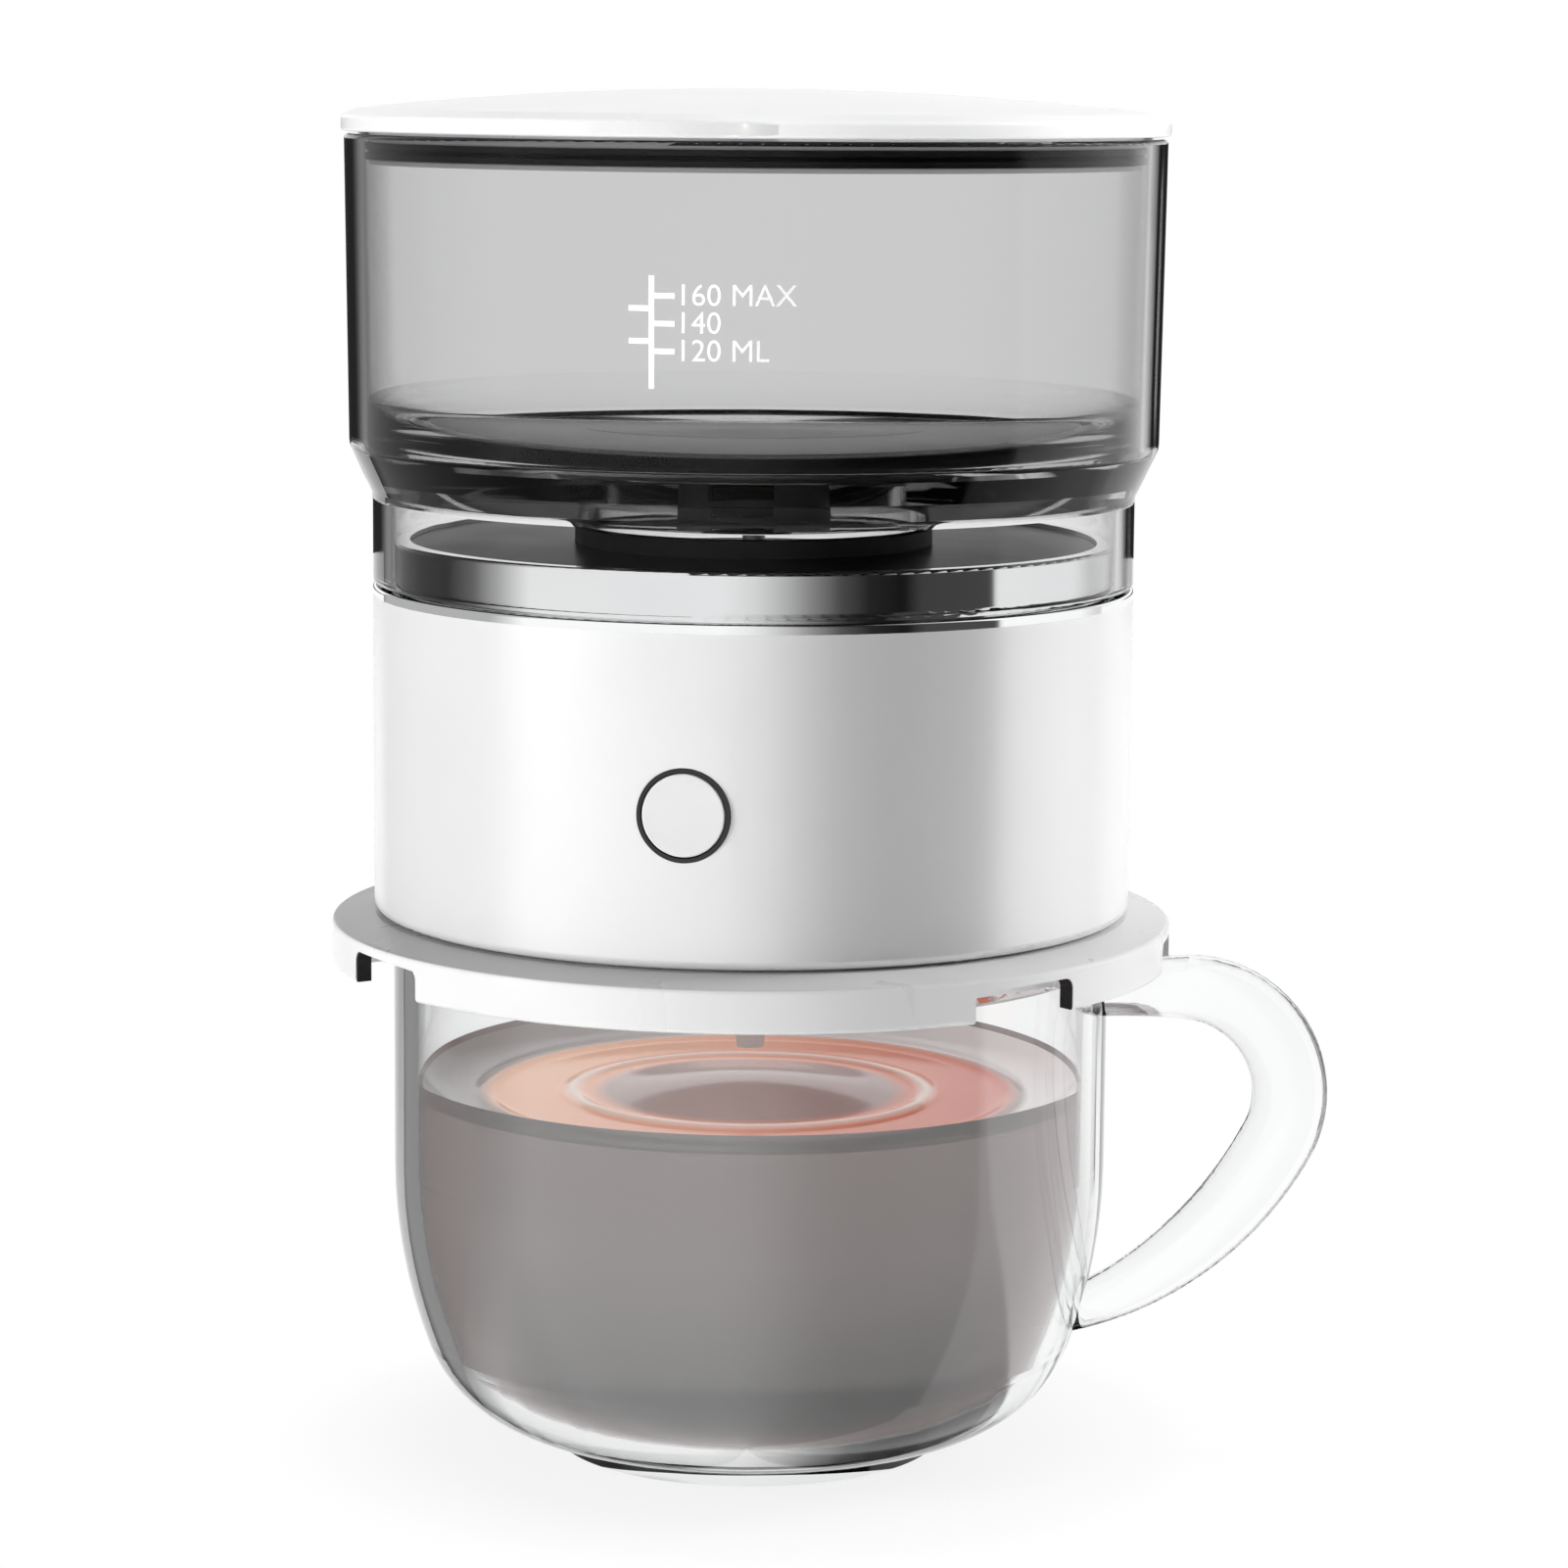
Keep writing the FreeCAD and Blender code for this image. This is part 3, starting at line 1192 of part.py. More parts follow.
def make_button_bezel():
    """Dark sleeve round the button, with a lip that stops it and a flange behind the shell."""
    body = new_body("button_bezel")
    sleeve = new_sketch(body, "sleeve", "XZ_Plane", BEZEL_BACK)
    draw_circles(sleeve, "0", BUTTON_AXIS, BEZEL_RADIUS, BEZEL_BORE)
    push_sketch(body, "sleeve_wall", sleeve, "bezel_depth")
    lip = new_sketch(body, "lip", "XZ_Plane", BEZEL_BACK)
    stem_bore = "(button_stem_radius + bezel_gap)"
    draw_circles(lip, "0", BUTTON_AXIS, f"({BEZEL_BORE} + bezel_wall / 2)", stem_bore)
    push_sketch(body, "lip_wall", lip, "button_travel")
    flange = new_sketch(body, "flange", "XZ_Plane", BEZEL_BACK)
    draw_circles(flange, "0", BUTTON_AXIS, "bezel_flange_radius", f"({BEZEL_RADIUS} - bezel_wall / 2)")
    push_sketch(body, "flange_wall", flange, "bezel_flange * 1.5")
    return body


def make_control_board():
    """Upright circuit board behind the button, standing on the liner's flange."""
    body = new_body("control_board")
    sketch = new_sketch(body, "board", "XZ_Plane", BOARD_BACK)
    high = f"({FLANGE_TOP} + board_height)"
    draw_rectangle(sketch, "-board_width / 2", "board_width / 2", FLANGE_TOP, high)
    push_sketch(body, "board_slab", sketch, "board_thickness")
    return body


def make_tact_switch():
    """Switch on the board, bored for its plunger."""
    body = new_body("tact_switch")
    case = new_sketch(body, "case", "XZ_Plane", BOARD_FACE)
    low, high = f"({BUTTON_AXIS} - switch_side / 2)", f"({BUTTON_AXIS} + switch_side / 2)"
    draw_rectangle(case, "-switch_side / 2", "switch_side / 2", low, high)
    push_sketch(body, "case_block", case, "switch_depth")
    bore = new_sketch(body, "bore", "XZ_Plane", SWITCH_FACE)
    draw_circles(bore, "0", BUTTON_AXIS, "(plunger_tip_radius + run_gap)")
    push_sketch(body, "bore_cut", bore, "(button_travel * 3.5)", "PartDesign::Pocket")
    return body


def make_switch_plunger():
    """Plunger between the button's stem and the switch."""
    body = new_body("switch_plunger")
    back = f"({SWITCH_FACE} - button_travel * 2.25)"
    sketch = new_sketch(body, "tip", "XZ_Plane", back)
    draw_circles(sketch, "0", BUTTON_AXIS, "plunger_tip_radius")
    push_sketch(body, "tip_post", sketch, f"({STEM_BACK} - {back})")
    return body


def make_charge_board():
    """Small board on the liner's flange that carries the charging socket."""
    body = new_body("charge_board")
    sketch = new_sketch(body, "board", "XY_Plane", FLANGE_TOP)
    far = f"({BODY_BORE} - charge_board_thickness * 2)"
    half = "charge_board_width / 2"
    draw_rectangle(sketch, f"-{half}", half, f"({far} - charge_board_depth)", far)
    push_sketch(body, "board_slab", sketch, "charge_board_thickness")
    return body


def make_charge_socket():
    """Rounded metal socket that opens through the back of the shell, with its contact tongue."""
    body = new_body("charge_socket")
    mouth = "(body_radius - rest_gap)"
    back = f"({mouth} - port_depth)"
    half, high = "port_width / 2", f"({PORT_LOW} + port_height)"
    shell = new_sketch(body, "shell", "XZ_Plane", f"-{back}")
    draw_rectangle(shell, f"-{half}", half, PORT_LOW, high)
    push_sketch(body, "shell_block", shell, "port_depth", "PartDesign::Pad", True)
    run = value("port_depth")
    round_edges(body, "corner_round", "(port_height / 2 - mesh_gap)",
                lambda edge: abs(edge.BoundBox.YLength - run) < MATCH)
    hollow = new_sketch(body, "hollow", "XZ_Plane", f"-{mouth}")
    inset = "(port_height / 2 - port_shell)"
    middle = f"({PORT_LOW} + port_height / 2)"
    reach = f"({half} - port_height / 2)"
    draw_chain(
        hollow,
        [
            (reach, f"({middle} - {inset})"),
            (f"({reach} + {inset})", middle, inset, 1),
            (reach, f"({middle} + {inset})", inset, 1),
            (f"-{reach}", f"({middle} + {inset})"),
            (f"-({reach} + {inset})", middle, inset, 1),
            (f"-{reach}", f"({middle} - {inset})", inset, 1),
        ],
    )
    push_sketch(body, "hollow_cut", hollow, "(port_depth - port_shell * 2)", "PartDesign::Pocket", True)
    tongue = new_sketch(body, "tongue", "XZ_Plane", f"-{back}")
    draw_rectangle(tongue, f"-{reach}", reach, f"({middle} - port_shell)", f"({middle} + port_shell)")
    push_sketch(body, "tongue_slab", tongue, "(port_depth - port_shell * 3)", "PartDesign::Pad", True)
    return body


def make_parts():
    """Every sub-part of the coffee maker, from the table upwards."""
    boss_top = f"({DECK_TOP} - pin_radius)"
    return [
        make_mug(),
        make_cup_holder(),
        make_filter_frame(),
        make_filter_mesh(),
        make_body_shell(),
        make_trim_ring(),
        make_top_deck(),
        make_ring("collar_seal", "(sump_radius - rest_gap)", f"({COLLAR_RADIUS} + slip_gap)",
                  DECK_TOP, f"({DECK_TOP} + collar_seal_height)"),
        make_ring("pin_seal", "(pin_radius + mesh_gap)", "(pin_radius + well_wall)",
                  boss_top, f"({boss_top} + seal_thickness)"),
        make_chamber_liner(),
        make_base_screws(),
        make_battery_cells(),
        make_drive_motor(),
        make_motor_shaft(),
        make_drive_pinion(),
        make_sprinkler(),
        make_hub_cap(),
        make_solenoid_coil(),
        make_lift_pin(),
        make_power_button(),
        make_button_bezel(),
        make_switch_plunger(),
        make_tact_switch(),
        make_control_board(),
        make_charge_board(),
        make_charge_socket(),
        make_water_tank(),
        make_valve_seat(),
        make_valve_plunger(),
        make_valve_cage(),
        make_tank_lid(),
        make_lid_seal(),
    ]


def write_parts(parts):
    """Checks the whole document, then writes one file for each sub-part."""
    doc.recompute()
    failed = [item.Name for item in doc.Objects if {"Invalid", "Error"} & set(item.State)]
    if failed:
        raise RuntimeError(f"failed objects: {failed}")
    for part in parts:
        if part.Shape.isNull() or not part.Shape.isValid() or not part.Shape.Solids:
            raise RuntimeError(f"{part.Label} has no valid solid")
    os.makedirs("parts", exist_ok=True)
    for part in parts:
        part.Shape.exportStep(os.path.join("parts", f"{part.Label}.step"))


write_parts(make_parts())
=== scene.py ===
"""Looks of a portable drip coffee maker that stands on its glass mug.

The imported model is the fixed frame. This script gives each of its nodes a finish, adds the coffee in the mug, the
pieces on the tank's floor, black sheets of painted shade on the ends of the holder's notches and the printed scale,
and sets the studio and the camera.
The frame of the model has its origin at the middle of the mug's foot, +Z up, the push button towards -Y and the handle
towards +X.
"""

from __future__ import annotations

import logging
import math
from collections.abc import Callable
from dataclasses import dataclass, field
from enum import Enum

import bmesh
import bpy
from mathutils import Matrix, Vector


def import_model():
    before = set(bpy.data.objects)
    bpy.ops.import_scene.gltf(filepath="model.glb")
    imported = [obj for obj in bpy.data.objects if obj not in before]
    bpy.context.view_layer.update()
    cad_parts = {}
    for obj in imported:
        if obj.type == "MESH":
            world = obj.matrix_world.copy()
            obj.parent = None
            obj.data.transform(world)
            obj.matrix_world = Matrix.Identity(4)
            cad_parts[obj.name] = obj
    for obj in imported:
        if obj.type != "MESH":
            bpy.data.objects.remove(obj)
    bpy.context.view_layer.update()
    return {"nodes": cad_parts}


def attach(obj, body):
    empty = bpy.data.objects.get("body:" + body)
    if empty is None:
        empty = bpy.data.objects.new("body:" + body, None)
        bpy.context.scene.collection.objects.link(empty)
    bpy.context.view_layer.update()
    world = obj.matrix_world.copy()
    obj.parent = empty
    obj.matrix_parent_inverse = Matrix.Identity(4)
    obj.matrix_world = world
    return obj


LOG = logging.getLogger("coffee_maker")
MM = 0.001
PHOTO_PIXELS = 1601
TURN_STEPS = 192
CREASE_DEGREES = 35.0
COAT_ROUGHNESS = 0.04
SAME_PLACE = 1e-7
WHITE = (1.0, 1.0, 1.0, 1.0)

Socket = bpy.types.NodeSocket
Tree = bpy.types.NodeTree
Material = bpy.types.Material
Piece = bpy.types.Object
Shape = bmesh.types.BMesh
Colour = tuple[float, float, float]
Outline = list[tuple[float, float]]


class Carrier(str, Enum):
    """The bodies of the model that new pieces ride on."""

    MUG = "mug"
    HOLDER = "holder"
    TANK = "tank"


class Grain(Enum):
    """What the surface of a finish shows close up."""

    MOULDED = "moulded"
    BRUSHED = "brushed"
    POLISHED = "polished"


class Graph:
    """A node tree with short ways to add and join its nodes."""

    def __init__(self, tree: Tree) -> None:
        """Empties the tree that it will fill."""
        self.tree = tree
        tree.nodes.clear()

    def add(self, kind: str, inputs: dict | None = None, **settings: object) -> bpy.types.Node:
        """Adds one node.

        Args:
            kind: The shader node's type name without its prefix.
            inputs: Values or output sockets for its inputs, by name or place.
            settings: Properties of the node itself.

        Returns:
            The new node.
        """
        node = self.tree.nodes.new("ShaderNode" + kind)
        for name, setting in settings.items():
            setattr(node, name, setting)
        for key, given in (inputs or {}).items():
            if isinstance(given, Socket):
                self.tree.links.new(given, node.inputs[key])
            else:
                node.inputs[key].default_value = given
        return node

    def here(self) -> Socket:
        """Gives the place on the piece, in its own coordinates."""
        return self.add("TexCoord").outputs["Object"]

    def math(self, operation: str, *terms: object, clamp: bool = False) -> Socket:
        """Works out a value.

        Args:
            operation: What is done with the terms.
            terms: Values or output sockets.
            clamp: Whether the result is kept between 0 and 1.

        Returns:
            The result.
        """
        return self.add("Math", dict(enumerate(terms)), operation=operation, use_clamp=clamp).outputs[0]

    def ramp(self, value: Socket, low: float, high: float, **settings: object) -> Socket:
        """Gives 0 to 1 as a value goes from low to high."""
        inputs = {"Value": value, "From Min": low, "From Max": high}
        return self.add("MapRange", inputs, **settings).outputs["Result"]

    def mix(self, share: object, under: object, over: object) -> Socket:
        """Gives a colour between two others."""
        inputs = {"Factor": share, "A": under, "B": over}
        return self.add("Mix", inputs, data_type="RGBA").outputs["Result"]

    def noise(
        self,
        scale: object,
        detail: float,
        roughness: float = 0.5,
        distortion: float = 0.0,
        stretch: tuple[float, float, float] | None = None,
    ) -> Socket:
        """Spreads smooth noise over the piece.

        Args:
            scale: How fine it is, a value or a socket.
            detail: How many finer layers it has.
            roughness: How strong those are.
            distortion: How far it is warped.
            stretch: How much finer it is along each axis.

        Returns:
            The noise, from 0 to 1.
        """
        place = self.here()
        if stretch is not None:
            place = self.add("Mapping", {"Vector": place, "Scale": stretch}).outputs["Vector"]
        inputs = {"Vector": place, "Scale": scale, "Detail": detail, "Roughness": roughness, "Distortion": distortion}
        return self.add("TexNoise", inputs).outputs["Fac"]


class GroupGraph(Graph):
    """The nodes of a shader group with named sockets."""

    def __init__(self, name: str, inputs: dict[str, float | tuple[float, ...]]) -> None:
        """Starts the group.

        Args:
            name: The group's name.
            inputs: First value of each input: a number, a vector of three or a colour of four.
        """
        super().__init__(bpy.data.node_groups.new(name, "ShaderNodeTree"))
        kinds = {1: "NodeSocketFloat", 3: "NodeSocketVector", 4: "NodeSocketColor"}
        for label, first in inputs.items():
            kind = kinds[len(first) if isinstance(first, tuple) else 1]
            self.tree.interface.new_socket(label, in_out="INPUT", socket_type=kind).default_value = first
        self.given = self.tree.nodes.new("NodeGroupInput").outputs

    def finish(self, label: str, kind: str, result: Socket) -> Tree:
        """Gives the group its output.

        Args:
            label: The output's name.
            kind: Its socket type.
            result: What it puts out.

        Returns:
            The group.
        """
        self.tree.interface.new_socket(label, in_out="OUTPUT", socket_type=kind)
        self.tree.links.new(result, self.tree.nodes.new("NodeGroupOutput").inputs[label])
        return self.tree


def blank_material(name: str) -> tuple[Material, Graph]:
    """Starts a material.

    Args:
        name: Its name.

    Returns:
        The material and its empty node tree.
    """
    material = bpy.data.materials.new(name)
    material.use_nodes = True
    return material, Graph(material.node_tree)


class EffectLibrary:
    """Shader groups that several finishes share, each built once."""

    def __init__(self) -> None:
        """Builds every group."""
        self.drift = self._build_drift()
        self.handling = self._build_handling()
        self.band = self._build_band()
        self.grain = {
            Grain.MOULDED: self._build_moulded(),
            Grain.BRUSHED: self._build_brushed(),
            Grain.POLISHED: self._build_polished(),
        }

    def relief(self, graph: Graph, finish: Finish | ClearFinish) -> dict[str, Socket]:
        """Adds a finish's smears and grain to its material.

        Args:
            graph: The material's nodes.
            finish: The finish.

        Returns:
            The Roughness and Normal of its shader.
        """
        levels = {"Level": finish.gloss, "Spread": finish.smear}
        marks = graph.add("Group", levels, node_tree=self.handling)
        height = graph.add("Group", node_tree=self.grain[finish.grain]).outputs["Height"]
        bump = graph.add("Bump", {"Height": height, "Distance": finish.depth})
        return {"Roughness": marks.outputs["Roughness"], "Normal": bump.outputs["Normal"]}

    def _build_drift(self) -> Tree:
        """Builds the slow change of colour over a piece.

        Returns:
            A group from two colours and a scale to one colour.
        """
        inputs = {"Scale": 40.0, "Near": (0.8, 0.8, 0.8, 1.0), "Far": (0.7, 0.7, 0.7, 1.0)}
        graph = GroupGraph("colour_drift", inputs)
        level = graph.ramp(graph.noise(graph.given["Scale"], 5.0, 0.55), 0.35, 0.65)
        colour = graph.mix(level, graph.given["Near"], graph.given["Far"])
        return graph.finish("Colour", "NodeSocketColor", colour)

    def _build_handling(self) -> Tree:
        """Builds the faint smears that hands and cloths leave in a gloss.

        Returns:
            A group from a level and a spread to a roughness.
        """
        graph = GroupGraph("handling_marks", {"Level": 0.2, "Spread": 0.05})
        noise = graph.noise(90.0, 6.0, distortion=0.6, stretch=(1.0, 1.0, 0.35))
        swing = graph.math("MULTIPLY", graph.math("SUBTRACT", noise, 0.5), graph.given["Spread"])
        level = graph.math("ADD", swing, graph.given["Level"], clamp=True)
        return graph.finish("Roughness", "NodeSocketFloat", level)

    def _build_band(self) -> Tree:
        """Builds the mask of a band between two radii about the upright axis and two heights.

        Returns:
            A group from the band's limits to a mask.
        """
        graph = GroupGraph("ring_band", {"Inner": -1.0, "Outer": 1.0, "Low": -1.0, "High": 1.0, "Soft": 0.001})
        ends = graph.given
        parts = graph.add("SeparateXYZ", {0: graph.here()}).outputs
        flat = graph.add("CombineXYZ", {"X": parts["X"], "Y": parts["Y"]})
        reach = graph.add("VectorMath", {0: flat.outputs[0]}, operation="LENGTH")
        shares = []
        for spot, low, high in ((reach.outputs["Value"], "Inner", "Outer"), (parts["Z"], "Low", "High")):
            for more, less in ((spot, ends[low]), (ends[high], spot)):
                depth = graph.math("SUBTRACT", more, less)
                shares.append(graph.math("DIVIDE", depth, ends["Soft"], clamp=True))
        mask = shares[0]
        for share in shares[1:]:
            mask = graph.math("MULTIPLY", mask, share)
        return graph.finish("Mask", "NodeSocketFloat", mask)

    def _build_moulded(self) -> Tree:
        """Builds the fine pebble of a spark-eroded mould.

        Returns:
            A group from a scale to a height.
        """
        graph = GroupGraph("moulded_grain", {"Scale": 2600.0})
        pebble = {"Vector": graph.here(), "Scale": graph.given["Scale"], "Smoothness": 0.8}
        cells = graph.add("TexVoronoi", pebble, feature="SMOOTH_F1")
        both = graph.math("MULTIPLY_ADD", graph.noise(60.0, 2.0), 0.6, cells.outputs["Distance"])
        return graph.finish("Height", "NodeSocketFloat", both)

    def _build_brushed(self) -> Tree:
        """Builds fine turning lines that run round the upright axis.

        Returns:
            A group from a scale to a height.
        """
        graph = GroupGraph("brushed_lines", {"Scale": 5200.0})
        lines = graph.noise(graph.given["Scale"], 3.0, 0.7, stretch=(0.03, 0.03, 1.0))
        return graph.finish("Height", "NodeSocketFloat", lines)

    def _build_polished(self) -> Tree:
        """Builds the long shallow waviness of a blown or polished surface, a group from a scale to a height."""
        graph = GroupGraph("polished_wave", {"Scale": 45.0})
        return graph.finish("Height", "NodeSocketFloat", graph.noise(graph.given["Scale"], 1.0))


@dataclass(frozen=True)
class Band:
    """A ring of a piece in another colour: its own colour on some pieces, painted shade or painted highlight on
    others; all sizes are millimetres.

    Attributes:
        colour: Its colour, linear.
        right: Its colour on the handle's side, where that differs.
        inner: Its inner radius about the upright axis.
        outer: Its outer radius.
        low: Its lowest height.
        high: Its greatest height.
        soft: Width of its soft edge.
        spread: How far from the axis the side colours are reached.
    """

    colour: Colour
    right: Colour | None = None
    inner: float = -9.0
    outer: float = 900.0
    low: float = -900.0
    high: float = 900.0
    soft: float = 1.0
    spread: float = 30.0

    def paint(self, graph: Graph, effects: EffectLibrary, under: object) -> Socket:
        """Lays the band over a colour.

        Args:
            graph: The material's nodes.
            effects: The shared shader groups.
            under: The colour below, a value or a socket.

        Returns:
            The colour with the band.
        """
        limits = {label.title(): getattr(self, label) * MM for label in ("inner", "outer", "low", "high", "soft")}
        mask = graph.add("Group", limits, node_tree=effects.band)
        over: object = (*self.colour, 1.0)
        if self.right is not None:
            across = graph.add("SeparateXYZ", {0: graph.here()}).outputs["X"]
            reach = self.spread * MM
            over = graph.mix(graph.ramp(across, -reach, reach), over, (*self.right, 1.0))
        return graph.mix(mask.outputs["Mask"], under, over)


@dataclass(frozen=True)
class Finish:
    """An opaque finish: two near colours, a gloss that varies a little and a grain.

    Attributes:
        name: The material's name.
        colour: Main colour, linear.
        shade: The colour that it drifts towards, linear.
        gloss: Mean roughness.
        smear: How far the roughness varies.
        grain: What shows close up.
        depth: Height of the grain in metres.
        metallic: How far it is a metal.
        coat: Weight of a clear coat.
        sheen_level: Strength of the mirror share of a plastic, 0.5 as usual.
        drift_scale: Scale of the colour's drift.
        bands: Rings of other colours, some of them painted shade or painted highlight.
        glow: Share of its colour that it gives off as light of its own, a painted glow.
    """

    name: str
    colour: Colour
    shade: Colour
    gloss: float
    smear: float = 0.06
    grain: Grain = Grain.MOULDED
    depth: float = 2e-6
    metallic: float = 0.0
    coat: float = 0.0
    sheen_level: float = 0.5
    drift_scale: float = 40.0
    bands: tuple[Band, ...] = ()
    glow: float = 0.0

    def make(self, effects: EffectLibrary) -> Material:
        """Builds the material.

        Args:
            effects: The shared shader groups.

        Returns:
            The finished material.
        """
        material, graph = blank_material(self.name)
        inputs = {"Scale": self.drift_scale, "Near": (*self.colour, 1.0), "Far": (*self.shade, 1.0)}
        colour = graph.add("Group", inputs, node_tree=effects.drift).outputs["Colour"]
        for band in self.bands:
            colour = band.paint(graph, effects, colour)
        shader = graph.add(
            "BsdfPrincipled",
            {
                "Base Color": colour,
                **effects.relief(graph, self),
                "Metallic": self.metallic,
                "Coat Weight": self.coat,
                "Coat Roughness": COAT_ROUGHNESS,
                "Specular IOR Level": self.sheen_level,
                "Emission Strength": self.glow,
            },
        )
        # A glow is painted light: the finish gives off its own colour as light.
        if self.glow:
            graph.tree.links.new(colour, shader.inputs["Emission Color"])
        graph.add("OutputMaterial", {"Surface": shader.outputs[0]})
        return material


@dataclass(frozen=True)
class ClearFinish:
    """A clear finish that takes up light along its depth.

    Attributes:
        name: The material's name.
        tint: Colour of what passes its surface, linear.
        stain: Colour that is left after a long way through it, linear.
        density: How fast the stain grows, per metre.
        ior: Index of refraction.
        gloss: Mean roughness.
        smear: How far the roughness varies.
        passing: Share of light that passes instead of scattering.
        depth: Height of the surface's waviness in metres.
        glint: Colour of its mirror share, linear.
        edge: Colour of what passes it at a grazing angle, where that differs; on the tank and the mug it is painted
            shade at their edges.
        edge_from: Share of the grazing angle at which that starts.
        bands: Rings of other tints, such as the smoked tank's own tint or a painted shade at the coffee's bottom.
        grain: What shows close up.
    """

    name: str
    tint: Colour
    stain: Colour
    density: float
    ior: float
    gloss: float = 0.02
    smear: float = 0.02
    passing: float = 1.0
    depth: float = 4e-5
    glint: Colour = (1.0, 1.0, 1.0)
    edge: Colour | None = None
    edge_from: float = 0.7
    bands: tuple[Band, ...] = ()
    grain: Grain = Grain.POLISHED

    def make(self, effects: EffectLibrary) -> Material:
        """Builds the material.

        Args:
            effects: The shared shader groups.

        Returns:
            The finished material.
        """
        material, graph = blank_material(self.name)
        colour: object = (*self.tint, 1.0)
        for band in self.bands:
            colour = band.paint(graph, effects, colour)
        # The grazing-angle colour is painted shade on the tank's and the mug's edges.
        if self.edge is not None:
            facing = graph.add("LayerWeight", {"Blend": 0.5}).outputs["Facing"]
            rim = graph.ramp(facing, self.edge_from, 1.0, interpolation_type="SMOOTHSTEP")
            colour = graph.mix(rim, colour, (*self.edge, 1.0))
        shader = graph.add(
            "BsdfPrincipled",
            {
                "Base Color": colour,
                **effects.relief(graph, self),
                "IOR": self.ior,
                "Transmission Weight": self.passing,
                "Specular Tint": (*self.glint, 1.0),
            },
        )
        inside = graph.add("VolumeAbsorption", {"Color": (*self.stain, 1.0), "Density": self.density})
        graph.add("OutputMaterial", {"Surface": shader.outputs[0], "Volume": inside.outputs[0]})
        return material


